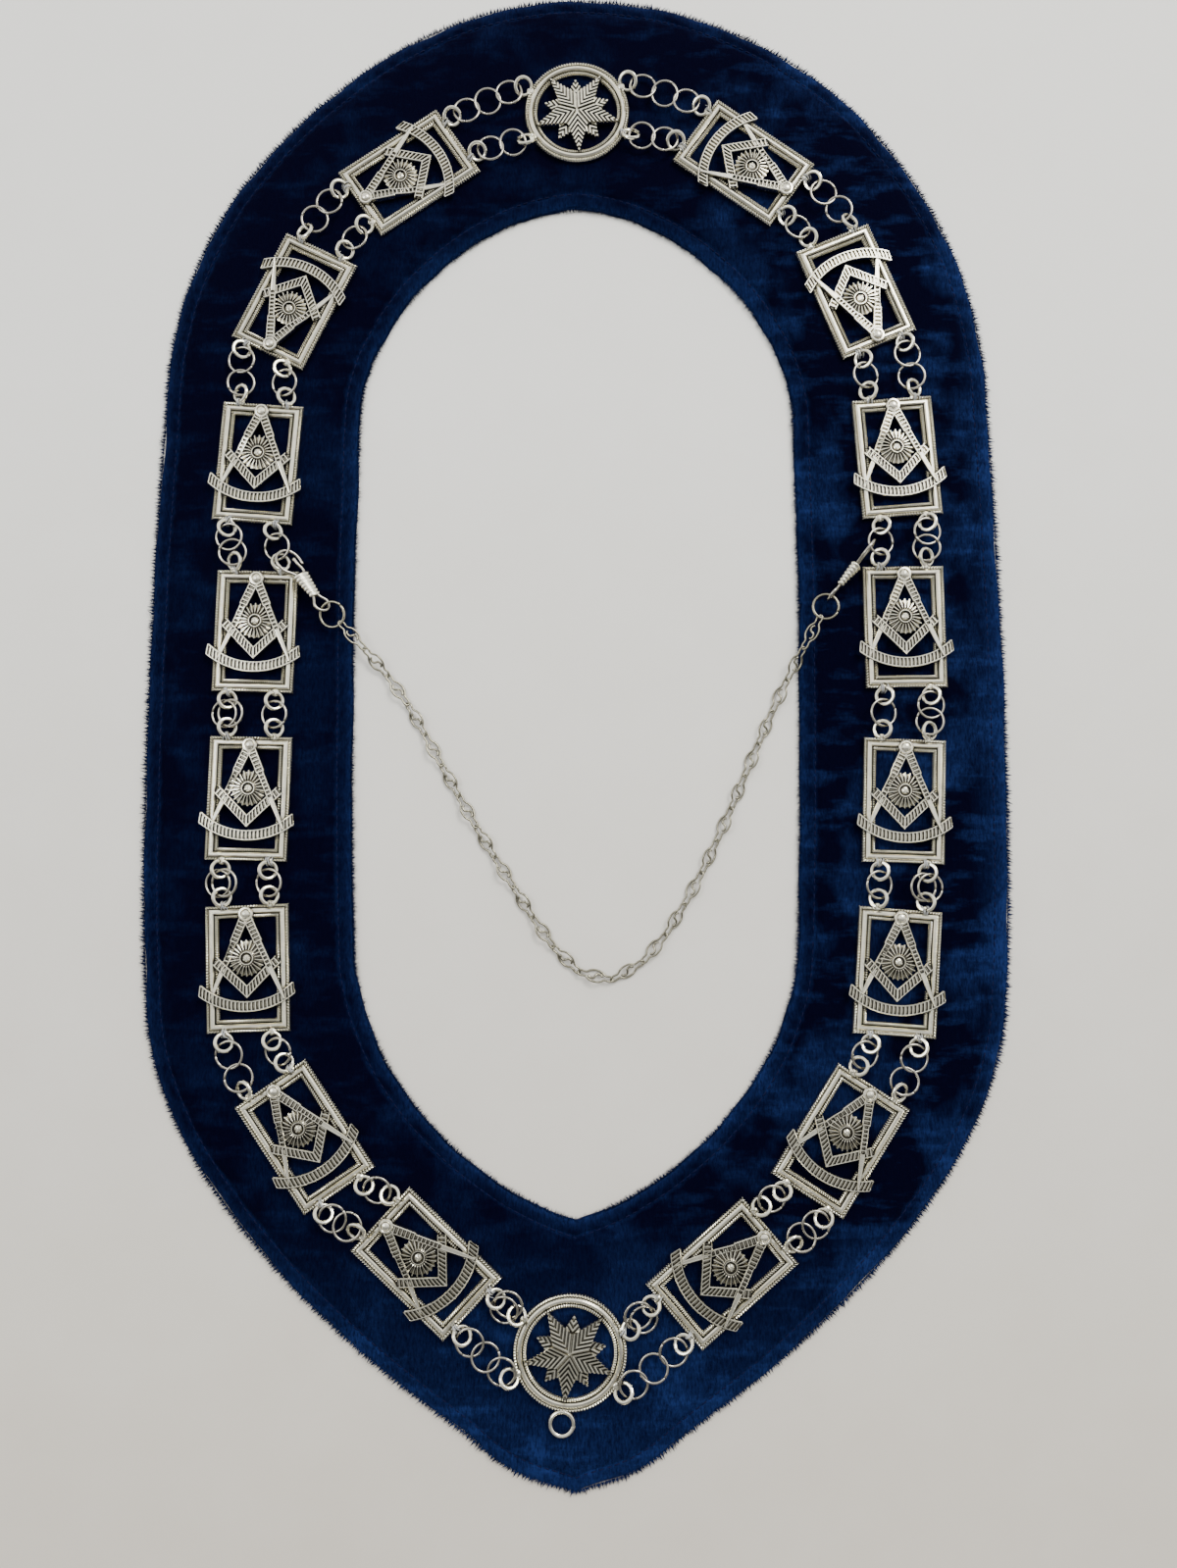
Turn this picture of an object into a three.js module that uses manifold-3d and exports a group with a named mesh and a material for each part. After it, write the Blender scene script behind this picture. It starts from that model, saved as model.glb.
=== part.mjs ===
// A chain collar of office, lying flat on its back.
// Sixteen cast plates and two round medallions are chained with jump rings over a velvet band,
// and a loose chain with two wire clasps hangs across the neck opening.
// Millimetres, +Z up. The origin is under the middle of the velvet, on the surface that it lies on,
// and +Y points to the back of the neck, where the top medallion is.

import * as THREE from 'three';
import { mergeVertices } from 'three/addons/utils/BufferGeometryUtils.js';
import Module from 'manifold-3d';

const wasm = await Module();
wasm.setup();

// Velvet band
const COLLAR_LENGTH = 526.8;
const COLLAR_WIDTH = 299.6;
const NECK_WIDTH = 156.8;
const NECK_LENGTH = 360.6;
const NECK_MIDDLE_Y = 5.7;
const VELVET_THICK = 3.2;
const SEAM_THICK = 2.5;
const RIM_THICK = 1.6;
const SEAM_INSET = 5;
const CREST_SHARE = 0.22;

// Cast plates
const PLATE_LENGTH = 0.08163 * COLLAR_LENGTH;
const PLATE_WIDTH = 28.4;
const BAR_WIDTH = 4.5;
const BAR_THICK = 2;
const REST_GAP = 0.3;

// Compass, square, arc and sun on a plate
const APEX_INSET = 3.1;
const LEG_LENGTH = 0.735 * PLATE_LENGTH;
const LEG_SPREAD = 23.8;
const LEG_TOP_WIDTH = 2.9;
const LEG_TIP_WIDTH = 1.2;
const SQUARE_DROP = 0.1814 * PLATE_LENGTH;
const SQUARE_ARM = 15.2;
const SQUARE_WIDTH = 3.1;
const ARC_CENTRE = 0.2837 * PLATE_LENGTH;
const ARC_RADIUS = 0.579 * PLATE_LENGTH;
const ARC_WIDTH = 3.6;
const ARC_SPREAD = 42;
const ARC_TIP_CUT = 4;
const ARC_STEPS = 4;
const SUN_CENTRE = 0.0814 * PLATE_LENGTH;
const SUN_RADIUS = 6.2;
const SUN_SIDES = 8;
const RELIEF_FLOOR = 1;
const RELIEF_RISE = 0.6;

// Medallions
const MEDALLION_RADIUS = 18.9;
const STAR_RADIUS = 15.6;
const STAR_NOTCH = 6.2;
const SHORT_STAR_RADIUS = 11.2;
const STAR_CORNERS = 10;
const MEDALLION_EYE_ANGLE = 28;
const MEDALLION_EYE_REACH = 2.6;
const MEDALLION_SIDES = 24;

// Eyes and jump rings
const EYE_RADIUS = 2.9;
const EYE_WIRE = 1.34;
const EYE_REACH = 2.95;
const EYE_SPREAD = 8.1;
const JEWEL_EYE_RADIUS = 3.85;
const JEWEL_EYE_WIRE = 1.4;
const RING_RADIUS = 4.6;
const RING_WIRE = 0.92;
const LINK_LIFT = 2.5;
const RING_SIDES = 10;
const EYE_STEPS = 6;
const EYE_SWEEP = 328;
const EYE_WIRE_SIDES = 4;
const JEWEL_EYE_SIDES = 12;
const WIRE_SIDES = 5;

// How the jump rings lie, in mm and degrees
const SHORTEST_REACH = 3.3;
const LONGEST_REACH = 5.95;
const WIRE_BITE = 0.1;
const PAIR_SPREAD = 1.2;
const PAIR_STACK = 0.15;
const FLAT_ROLL = 15;
const FLAT_EYE_ROLL = 29;
const SERIES_ROLL = 6;
const SERIES_EYE_ROLL = 32;
const FOOT_RISE = 0.6;

// Wire clasps
const CLASP_LENGTH = 26;
const CLASP_WIRE = 1.04;
const SLEEVE_LENGTH = 9.3;
const SLEEVE_WIDE = 6.2;
const SLEEVE_NARROW = 5;
const SLEEVE_WALL = 0.5;
const SLEEVE_FLATNESS = 0.46;
const SLEEVE_SIDES = 12;
const CLASP_STEPS = 28;

// Loose chain
const CHAIN_WIDTH = 4.2;
const CHAIN_THICK = 2;
const CHAIN_END_RADIUS = 4.4;
const CHAIN_END_REACH = 5;
const CHAIN_STEPS = 24;
const CHAIN_SIDES = 8;

const HALF_WIDTH = COLLAR_WIDTH / 2;
const HALF_LENGTH = COLLAR_LENGTH / 2;
const PLATE_FLOOR = VELVET_THICK + REST_GAP;
const LINK_LEVEL = VELVET_THICK + LINK_LIFT;
const EYE_HEIGHT = LINK_LIFT - REST_GAP;
const RING_TAUT = 2 * RING_RADIUS - RING_WIRE + WIRE_BITE;
const DEGREE = Math.PI / 180;

// Where the cast pieces lie: x and y are shares of half the collar's width and length,
// turn is in degrees from +Y, counterclockwise, to the end with the rivet
const CAST_PLACES = [
  { name: 'top_medallion', x: 0.001, y: 0.827, turn: 3 },
  { name: 'plate_left_1', x: -0.404, y: 0.740, turn: 124.5 },
  { name: 'plate_left_2', x: -0.673, y: 0.556, turn: 154 },
  { name: 'plate_left_3', x: -0.751, y: 0.330, turn: -4.2 },
  { name: 'plate_left_4', x: -0.747, y: 0.101, turn: -1.4 },
  { name: 'plate_left_5', x: -0.753, y: -0.121, turn: -1.2 },
  { name: 'plate_left_6', x: -0.745, y: -0.341, turn: 2.3 },
  { name: 'plate_left_7', x: -0.608, y: -0.554, turn: 34.4 },
  { name: 'plate_left_8', x: -0.332, y: -0.711, turn: 46.8 },
  { name: 'plate_right_1', x: 0.403, y: 0.754, turn: -125.5 },
  { name: 'plate_right_2', x: 0.667, y: 0.570, turn: -157.4 },
  { name: 'plate_right_3', x: 0.756, y: 0.338, turn: 4.3 },
  { name: 'plate_right_4', x: 0.765, y: 0.107, turn: 0.7 },
  { name: 'plate_right_5', x: 0.754, y: -0.124, turn: -2.1 },
  { name: 'plate_right_6', x: 0.730, y: -0.346, turn: -4.3 },
  { name: 'plate_right_7', x: 0.594, y: -0.559, turn: -32.7 },
  { name: 'plate_right_8', x: 0.326, y: -0.723, turn: -49 },
  { name: 'bottom_medallion', x: -0.012, y: -0.819, turn: -6.8 },
];
const PLATES_PER_SIDE = 8;

// The gap that each clasp hooks into, and how the clasp lies there:
// heading and rolls in degrees, hold is the length from the ring to the sleeve's middle
const CLASP_PLACES = [
  { side: 'left', gap: 3, heading: -55, roll: -33, lift: 0.45, shift: 1.4, hold: 17.8, chainRoll: 14 },
  { side: 'right', gap: 3, heading: -129, roll: -85, lift: 1.35, shift: -1.6, hold: 17.4, chainRoll: 6 },
];

// Wire of a clasp in its own plane, from the hook's tip round the hook, through the sleeve,
// round the eye and back to the end of the gate. Both are shares of the clasp's length,
// along from the sleeve's middle towards the eye, across from its axis.
const CLASP_ROUTE = [
  { along: -0.308, across: 0.115 },
  { along: -0.410, across: 0.118 },
  { along: -0.488, across: 0.096 },
  { along: -0.550, across: 0.050 },
  { along: -0.578, across: -0.015 },
  { along: -0.574, across: -0.090 },
  { along: -0.532, across: -0.162 },
  { along: -0.442, across: -0.200 },
  { along: -0.315, across: -0.177 },
  { along: -0.225, across: -0.095 },
  { along: -0.155, across: -0.058 },
  { along: 0, across: -0.047 },
  { along: 0.175, across: -0.037 },
  { along: 0.232, across: -0.062 },
  { along: 0.295, across: -0.095 },
  { along: 0.372, across: -0.078 },
  { along: 0.418, across: 0.005 },
  { along: 0.372, across: 0.085 },
  { along: 0.295, across: 0.100 },
  { along: 0.232, across: 0.062 },
  { along: 0.175, across: 0.037 },
  { along: 0, across: 0.047 },
  { along: -0.155, across: 0.058 },
  { along: -0.235, across: 0.070 },
  { along: -0.330, across: 0.050 },
  { along: -0.425, across: 0.045 },
];
const CLASP_EYE = { along: 0.325, across: 0.005 };

// Route of the loose chain between its two end rings, left to right: x and y are shares of half
// the neck opening's width and length from its middle, z is the height in mm
const CHAIN_ROUTE = [
  [-0.9732, 0.0982, 4.5],
  [-0.9209, 0.0715, 2.7],
  [-0.8610, 0.0422, 1.4],
  [-0.7628, -0.0155, 1.15],
  [-0.6020, -0.1381, 1.15],
  [-0.4439, -0.2596, 1.15],
  [-0.2730, -0.3777, 1.15],
  [-0.0906, -0.4947, 1.15],
  [0.0293, -0.5430, 1.15],
  [0.1020, -0.5574, 1.15],
  [0.1811, -0.5485, 1.15],
  [0.3125, -0.5114, 1.15],
  [0.4949, -0.3966, 1.15],
  [0.6403, -0.2707, 1.15],
  [0.7730, -0.1381, 1.15],
  [0.8724, -0.0399, 1.15],
  [0.9209, 0.0061, 1.4],
  [0.9605, 0.0405, 2.7],
  [1.0026, 0.0760, 4.4],
];

const metal = () => new THREE.MeshStandardMaterial({ color: 0xcfccc2, metalness: 1, roughness: 0.35 });
const velvet = () => new THREE.MeshStandardMaterial({ color: 0x0d1838, metalness: 0, roughness: 0.95 });

// Solids

function solidOf(geometry) {
  const bare = geometry.clone();
  bare.deleteAttribute('normal');
  bare.deleteAttribute('uv');
  const merged = mergeVertices(bare, 1e-5);
  const mesh = new wasm.Mesh({
    numProp: 3,
    vertProperties: new Float32Array(merged.attributes.position.array),
    triVerts: new Uint32Array(merged.index.array),
  });
  return new wasm.Manifold(mesh);
}

function geometryOf(solid) {
  const mesh = solid.getMesh();
  const geometry = new THREE.BufferGeometry();
  geometry.setAttribute('position', new THREE.BufferAttribute(new Float32Array(mesh.vertProperties), 3));
  geometry.setIndex(new THREE.BufferAttribute(new Uint32Array(mesh.triVerts), 1));
  geometry.computeVertexNormals();
  return geometry;
}

function fuse(geometries) {
  const [first, ...rest] = geometries.map(solidOf);
  return geometryOf(rest.reduce((whole, piece) => whole.add(piece), first));
}

// A ring-shaped loft: stations of equally many points, closed round both ways.
// The points of a station run so that the faces point out.
function loftLoop(stations) {
  const count = stations[0].length;
  const index = [];
  stations.forEach((_, s) => {
    const next = (s + 1) % stations.length;
    for (let k = 0; k < count; k += 1) {
      const up = (k + 1) % count;
      index.push(s * count + k, next * count + k, next * count + up);
      index.push(s * count + k, next * count + up, s * count + up);
    }
  });
  const geometry = new THREE.BufferGeometry().setFromPoints(stations.flat());
  geometry.setIndex(index);
  geometry.computeVertexNormals();
  return geometry;
}

function prism(points, floor, top) {
  const shape = new THREE.Shape(points.map(([x, y]) => new THREE.Vector2(x, y)));
  const geometry = new THREE.ExtrudeGeometry(shape, { depth: top - floor, bevelEnabled: false });
  return geometry.translate(0, 0, floor);
}

function disc(x, y, radius, sides, floor, top) {
  const geometry = new THREE.CylinderGeometry(radius, radius, top - floor, sides);
  return geometry.rotateX(Math.PI / 2).translate(x, y, (floor + top) / 2);
}

function ellipseShape(width, height, sides) {
  const corner = (_, k) => {
    const angle = ((k + 0.5) / sides) * 2 * Math.PI;
    return new THREE.Vector2((width / 2) * Math.cos(angle), (height / 2) * Math.sin(angle));
  };
  return new THREE.Shape(Array.from({ length: sides }, corner));
}

function wireAlong(curve, shape, steps) {
  return new THREE.ExtrudeGeometry(shape, { extrudePath: curve, steps, bevelEnabled: false });
}

// A wire ring that lies along its heading and is rolled about it
function wireRing(radius, wire, sides, place) {
  const geometry = new THREE.TorusGeometry(radius, wire / 2, WIRE_SIDES, sides);
  geometry.rotateX(place.roll * DEGREE).rotateZ(place.heading);
  return geometry.translate(place.x, place.y, place.z);
}

// Velvet band

// Outer edge from the back of the neck to the front tip, right half, as shares of the half sizes
const OUTER_CROWN = { x: 0.979, y: 0.408 };
const OUTER_SIDE = [{ x: 0.996, y: 0.228 }, { x: 1.013, y: -0.228 }, { x: 0.981, y: -0.383 }];
const OUTER_FRONT = [{ x: 0.961, y: -0.645 }, { x: 0.347, y: -0.904 }, { x: 0, y: -1 }];

// Neck edge the same way, as shares of half the neck opening's width and length
const NECK_CROWN = [{ x: 0.383, y: 1 }, { x: 0.957, y: 0.778 }, { x: 0.985, y: 0.565 }];
const NECK_SIDE = [{ x: 1.008, y: 0.301 }, { x: 1.008, y: -0.253 }, { x: 0.968, y: -0.52 }];
const NECK_FRONT = [{ x: 0.931, y: -0.708 }, { x: 0.536, y: -0.925 }, { x: 0, y: -1 }];
const EDGE_STEPS = { crown: 8, side: 4, front: 7 };

const onOuter = ({ x, y }) => new THREE.Vector2(x * HALF_WIDTH, y * HALF_LENGTH);
const onNeck = ({ x, y }) => new THREE.Vector2((x * NECK_WIDTH) / 2, NECK_MIDDLE_Y + (y * NECK_LENGTH) / 2);

function outerCurves() {
  const corner = onOuter(OUTER_CROWN);
  const crown = new THREE.EllipseCurve(0, corner.y, corner.x, HALF_LENGTH - corner.y, Math.PI / 2, 0, true);
  const side = new THREE.CubicBezierCurve(corner, ...OUTER_SIDE.map(onOuter));
  const front = new THREE.CubicBezierCurve(side.v3, ...OUTER_FRONT.map(onOuter));
  return { crown, side, front };
}

function neckCurves() {
  const crown = new THREE.CubicBezierCurve(onNeck({ x: 0, y: 1 }), ...NECK_CROWN.map(onNeck));
  const side = new THREE.CubicBezierCurve(crown.v3, ...NECK_SIDE.map(onNeck));
  const front = new THREE.CubicBezierCurve(side.v3, ...NECK_FRONT.map(onNeck));
  return { crown, side, front };
}

// Pairs of points across the band down the right half, the middle of the tip included
function bandPairs() {
  const outer = outerCurves();
  const neck = neckCurves();
  const pairs = [];
  for (const [name, steps] of Object.entries(EDGE_STEPS)) {
    for (let k = 0; k < steps; k += 1) {
      pairs.push([outer[name].getPoint(k / steps), neck[name].getPoint(k / steps)]);
    }
  }
  pairs.push([outer.front.getPoint(1), neck.front.getPoint(1)]);
  return pairs;
}

function bandSection([outer, neck]) {
  const width = outer.distanceTo(neck);
  const seam = SEAM_INSET / width;
  const levels = [
    [0, 0], [1, 0], [1, RIM_THICK], [1 - seam, SEAM_THICK],
    [1 - CREST_SHARE, VELVET_THICK], [CREST_SHARE, VELVET_THICK], [seam, SEAM_THICK], [0, RIM_THICK],
  ];
  return levels.map(([share, z]) => {
    const point = outer.clone().lerp(neck, share);
    return new THREE.Vector3(point.x, point.y, z);
  });
}

function velvetBand() {
  const right = bandPairs();
  const mirror = ([outer, neck]) => [outer, neck].map((point) => new THREE.Vector2(-point.x, point.y));
  const left = right.slice(1, -1).reverse().map(mirror);
  return loftLoop([...right, ...left].map(bandSection));
}

// Plates

// Section of a frame bar from its outer edge in: distance in, height
const BAR_SECTION = [[0, 0], [0, BAR_THICK], [BAR_WIDTH, BAR_THICK], [BAR_WIDTH, 0]];

function plateFrame() {
  const corners = [[1, 1], [-1, 1], [-1, -1], [1, -1]];
  const station = ([sx, sy]) => BAR_SECTION.map(([inward, z]) => {
    const x = sx * (PLATE_WIDTH / 2 - inward);
    const y = sy * (PLATE_LENGTH / 2 - inward);
    return new THREE.Vector3(x, y, z);
  });
  return loftLoop(corners.map(station));
}

function compassLeg(hand) {
  const top = LEG_TOP_WIDTH / 2;
  const tip = LEG_TIP_WIDTH / 2;
  const outline = [[-top, 0], [-tip, -LEG_LENGTH], [tip, -LEG_LENGTH], [top, 0]];
  const leg = prism(outline, RELIEF_FLOOR, BAR_THICK + 2 * RELIEF_RISE);
  return leg.rotateZ(hand * LEG_SPREAD * DEGREE).translate(0, PLATE_LENGTH / 2 - APEX_INSET, 0);
}

function setSquare() {
  const inner = SQUARE_WIDTH / 2;
  const arm = SQUARE_ARM;
  const outline = [[-inner, -inner], [arm, -inner], [arm, inner], [inner, inner], [inner, arm], [-inner, arm]];
  const square = prism(outline, RELIEF_FLOOR, BAR_THICK + RELIEF_RISE);
  return square.rotateZ(Math.PI / 4).translate(0, -SQUARE_DROP, 0);
}

function arcBand() {
  const edge = (radius, spread) => Array.from({ length: ARC_STEPS + 1 }, (_, k) => {
    const angle = (-90 - spread + (2 * spread * k) / ARC_STEPS) * DEGREE;
    return [radius * Math.cos(angle), ARC_CENTRE + radius * Math.sin(angle)];
  });
  const outer = edge(ARC_RADIUS + ARC_WIDTH / 2, ARC_SPREAD - ARC_TIP_CUT);
  const inner = edge(ARC_RADIUS - ARC_WIDTH / 2, ARC_SPREAD);
  return prism([...outer, ...inner.reverse()], RELIEF_FLOOR, BAR_THICK + RELIEF_RISE);
}

// A cast eye, open where it runs into the metal that it stands on
function castEye({ at, inward, lie }) {
  const toPlane = new THREE.Matrix4().makeRotationZ(lie.heading);
  toPlane.multiply(new THREE.Matrix4().makeRotationX(lie.roll * DEGREE)).setPosition(at.x, at.y, EYE_HEIGHT);
  const open = inward - lie.heading;
  const points = Array.from({ length: EYE_STEPS + 1 }, (_, k) => {
    const angle = open + Math.PI + (k / EYE_STEPS - 0.5) * EYE_SWEEP * DEGREE;
    const spot = new THREE.Vector3(EYE_RADIUS * Math.cos(angle), EYE_RADIUS * Math.sin(angle), 0);
    return spot.applyMatrix4(toPlane);
  });
  const curve = new THREE.CatmullRomCurve3(points);
  return wireAlong(curve, ellipseShape(EYE_WIRE, EYE_WIRE, EYE_WIRE_SIDES), EYE_STEPS);
}

function plateGeometry(eyes) {
  return fuse([
    plateFrame(),
    arcBand(),
    setSquare(),
    disc(0, SUN_CENTRE, SUN_RADIUS, SUN_SIDES, RELIEF_FLOOR, BAR_THICK + RELIEF_RISE),
    compassLeg(1),
    compassLeg(-1),
    ...eyes.map(castEye),
  ]);
}

// Medallions

function starPoints(radius, first) {
  return Array.from({ length: STAR_CORNERS }, (_, k) => {
    const angle = (first + (360 / STAR_CORNERS) * k) * DEGREE;
    const reach = k % 2 === 0 ? radius : STAR_NOTCH;
    return [reach * Math.cos(angle), reach * Math.sin(angle)];
  });
}

function medallionRim() {
  const profile = BAR_SECTION.map(([inward, z]) => new THREE.Vector2(MEDALLION_RADIUS - inward, z));
  return new THREE.LatheGeometry([...profile, profile[0]], MEDALLION_SIDES).rotateX(Math.PI / 2);
}

function jewelEye() {
  const y = -MEDALLION_RADIUS - JEWEL_EYE_RADIUS;
  const place = { x: 0, y, z: BAR_THICK / 2, roll: 0, heading: 0 };
  return wireRing(JEWEL_EYE_RADIUS, JEWEL_EYE_WIRE, JEWEL_EYE_SIDES, place);
}

function medallionGeometry(eyes, extras) {
  return fuse([
    medallionRim(),
    prism(starPoints(SHORT_STAR_RADIUS, 90), RELIEF_FLOOR, BAR_THICK),
    prism(starPoints(STAR_RADIUS, -90), RELIEF_FLOOR, BAR_THICK + RELIEF_RISE),
    ...eyes.map(castEye),
    ...extras,
  ]);
}

// Layout of the cast pieces and their eyes

const isMedallion = (name) => name.endsWith('medallion');

// An eye's centre in its piece, and the direction from there into the metal
const eyeAt = (x, y, inward) => ({ x, y, inward });

function eyePlaces(name) {
  if (isMedallion(name)) {
    const reach = MEDALLION_RADIUS + MEDALLION_EYE_REACH;
    const x = reach * Math.cos(MEDALLION_EYE_ANGLE * DEGREE);
    const y = reach * Math.sin(MEDALLION_EYE_ANGLE * DEGREE);
    return [[x, y], [-x, y], [x, -y], [-x, -y]].map(([px, py]) => eyeAt(px, py, Math.atan2(-py, -px)));
  }
  const y = PLATE_LENGTH / 2 + EYE_REACH;
  const hands = [[1, 1], [-1, 1], [1, -1], [-1, -1]];
  return hands.map(([sx, sy]) => eyeAt(sx * EYE_SPREAD, sy * y, -sy * Math.PI / 2));
}

function castPiece({ name, x, y, turn }) {
  const centre = new THREE.Vector2(x * HALF_WIDTH, y * HALF_LENGTH);
  const angle = turn * DEGREE;
  const eyes = eyePlaces(name).map((at) => {
    const spot = new THREE.Vector2(at.x, at.y).rotateAround(new THREE.Vector2(), angle).add(centre);
    return { at, spot, inward: at.inward, turn: angle };
  });
  return { name, centre, angle, eyes };
}

const castPieces = CAST_PLACES.map(castPiece);
const castNamed = (name) => castPieces.find((piece) => piece.name === name);

function sidePieces(side) {
  const plates = Array.from({ length: PLATES_PER_SIDE }, (_, k) => castNamed(`plate_${side}_${k + 1}`));
  return [castNamed('top_medallion'), ...plates, castNamed('bottom_medallion')];
}

// The two eyes of a piece that face a neighbour, the one farther from the neck's middle first
function facingEyes(piece, neighbour) {
  const byDistance = (a, b) => a.spot.distanceTo(neighbour.centre) - b.spot.distanceTo(neighbour.centre);
  const middle = new THREE.Vector2(0, NECK_MIDDLE_Y);
  const facing = [...piece.eyes].sort(byDistance).slice(0, 2);
  return facing.sort((a, b) => b.spot.distanceTo(middle) - a.spot.distanceTo(middle));
}

// Jump rings between two eyes

// An eye whose foot would roll up out of the metal lies flatter
function lay(eye, target, roll) {
  const heading = Math.atan2(target.y - eye.spot.y, target.x - eye.spot.x) - eye.turn;
  const lean = EYE_RADIUS * Math.sin(eye.inward - heading) * Math.sign(roll);
  const steepest = lean > FOOT_RISE ? Math.asin(FOOT_RISE / lean) / DEGREE : 90;
  eye.lie = { heading, roll: Math.sign(roll) * Math.min(Math.abs(roll), steepest) };
}

// One ring, or two side by side, through both eyes
function flatRings(start, end, count, hand) {
  const along = end.spot.clone().sub(start.spot);
  const heading = Math.atan2(along.y, along.x);
  const middle = start.spot.clone().add(end.spot).multiplyScalar(0.5);
  lay(start, end.spot, hand * FLAT_EYE_ROLL);
  lay(end, start.spot, -hand * FLAT_EYE_ROLL);
  const slope = Math.tan(-hand * FLAT_ROLL * DEGREE);
  const side = new THREE.Vector3(-Math.sin(heading), Math.cos(heading), slope);
  return Array.from({ length: count }, (_, k) => {
    const off = count === 1 ? 0 : 2 * k - 1;
    const x = middle.x + off * PAIR_SPREAD * side.x;
    const y = middle.y + off * PAIR_SPREAD * side.y;
    const z = LINK_LEVEL + off * (PAIR_SPREAD * side.z + PAIR_STACK);
    return { x, y, z, heading, roll: -hand * FLAT_ROLL };
  });
}

// Rings one after another, each rolled the other way
function seriesRings(start, end, count, hand) {
  const span = start.spot.distanceTo(end.spot);
  const pitch = Math.min(RING_TAUT, (span - 2 * SHORTEST_REACH) / (count - 1));
  const reach = (span - pitch * (count - 1)) / 2;
  const along = end.spot.clone().sub(start.spot).divideScalar(span);
  const heading = Math.atan2(along.y, along.x);
  lay(start, end.spot, hand * SERIES_EYE_ROLL);
  lay(end, start.spot, (count % 2 === 0 ? hand : -hand) * SERIES_EYE_ROLL);
  return Array.from({ length: count }, (_, k) => {
    const place = start.spot.clone().addScaledVector(along, reach + pitch * k);
    const roll = (k % 2 === 0 ? -hand : hand) * SERIES_ROLL;
    return { x: place.x, y: place.y, z: LINK_LEVEL, heading, roll };
  });
}

function stringRings(start, end, count, hand) {
  const span = start.spot.distanceTo(end.spot);
  const longest = (rings) => 2 * LONGEST_REACH + (rings - 1) * RING_TAUT;
  if (count < 3 && span <= longest(1)) return flatRings(start, end, count, hand);
  let rings = Math.max(count, 2);
  while (span > longest(rings)) rings += 1;
  return seriesRings(start, end, rings, hand);
}

function ringCounts(gap) {
  const besideMedallion = gap === 0 || gap === PLATES_PER_SIDE;
  return besideMedallion ? { outer: 3, inner: 2 } : { outer: 2, inner: 1 };
}

// The way that the eyes roll: rings lie higher on the neck's side,
// and the eye of a medallion dips into its round rim
function rollHand(side, piece, start, end) {
  if (!isMedallion(piece.name)) return side === 'left' ? -1 : 1;
  const along = end.spot.clone().sub(start.spot);
  return -Math.sign(along.cross(piece.centre.clone().sub(start.spot)));
}

function sideStrings(side) {
  const pieces = sidePieces(side);
  const strings = [];
  for (let gap = 0; gap <= PLATES_PER_SIDE; gap += 1) {
    const pair = [pieces[gap], pieces[gap + 1]];
    const [from, to] = gap === PLATES_PER_SIDE ? pair.reverse() : pair;
    const starts = facingEyes(from, to);
    const ends = facingEyes(to, from);
    Object.entries(ringCounts(gap)).forEach(([row, count], k) => {
      const rings = stringRings(starts[k], ends[k], count, rollHand(side, from, starts[k], ends[k]));
      strings.push({ name: `links_${side}_${gap}_${row}`, side, gap, row, rings });
    });
  }
  return strings;
}

const strings = [...sideStrings('left'), ...sideStrings('right')];

function stringGeometry(rings) {
  return fuse(rings.map((ring) => wireRing(RING_RADIUS, RING_WIRE, RING_SIDES, ring)));
}

// Clasps

function claspPose({ side, gap, heading, roll, lift, shift, hold }) {
  const held = strings.find((string) => string.side === side && string.gap === gap && string.row === 'inner');
  const [ring] = held.rings;
  const angle = heading * DEGREE;
  const along = new THREE.Vector3(Math.cos(angle), Math.sin(angle), 0);
  const across = new THREE.Vector3(-Math.sin(angle), Math.cos(angle), 0);
  const group = new THREE.Group();
  group.position.set(ring.x, ring.y, LINK_LEVEL + lift);
  group.position.addScaledVector(along, hold).addScaledVector(across, shift);
  group.rotation.set(roll * DEGREE, 0, angle, 'ZYX');
  group.updateMatrixWorld();
  return group;
}

function claspWire() {
  const point = ({ along, across }) => new THREE.Vector3(along * CLASP_LENGTH, across * CLASP_LENGTH, 0);
  const curve = new THREE.CatmullRomCurve3(CLASP_ROUTE.map(point), false, 'centripetal');
  return wireAlong(curve, ellipseShape(CLASP_WIRE, CLASP_WIRE, WIRE_SIDES), CLASP_STEPS);
}

function claspSleeve() {
  const wide = SLEEVE_WIDE / 2;
  const narrow = SLEEVE_NARROW / 2;
  const half = SLEEVE_LENGTH / 2;
  const profile = [
    [wide - SLEEVE_WALL, -half], [wide, -half], [narrow, half], [narrow - SLEEVE_WALL, half],
    [wide - SLEEVE_WALL, -half],
  ];
  const points = profile.map(([radius, height]) => new THREE.Vector2(radius, height));
  const sleeve = new THREE.LatheGeometry(points, SLEEVE_SIDES);
  return sleeve.rotateZ(-Math.PI / 2).scale(1, 1, SLEEVE_FLATNESS);
}

// Loose chain

const onRoute = ([x, y, z]) => {
  return new THREE.Vector3((x * NECK_WIDTH) / 2, NECK_MIDDLE_Y + (y * NECK_LENGTH) / 2, z);
};

function chainEnd(pose, routeEnd, roll) {
  const eye = new THREE.Vector3(CLASP_EYE.along, CLASP_EYE.across, 0).multiplyScalar(CLASP_LENGTH);
  pose.localToWorld(eye);
  const heading = Math.atan2(routeEnd.y - eye.y, routeEnd.x - eye.x);
  const step = new THREE.Vector3(Math.cos(heading), Math.sin(heading), 0);
  const centre = eye.clone().addScaledVector(step, CHAIN_END_REACH);
  const place = { x: centre.x, y: centre.y, z: centre.z, heading, roll };
  return { place, start: centre.addScaledVector(step, CHAIN_END_RADIUS) };
}

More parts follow.
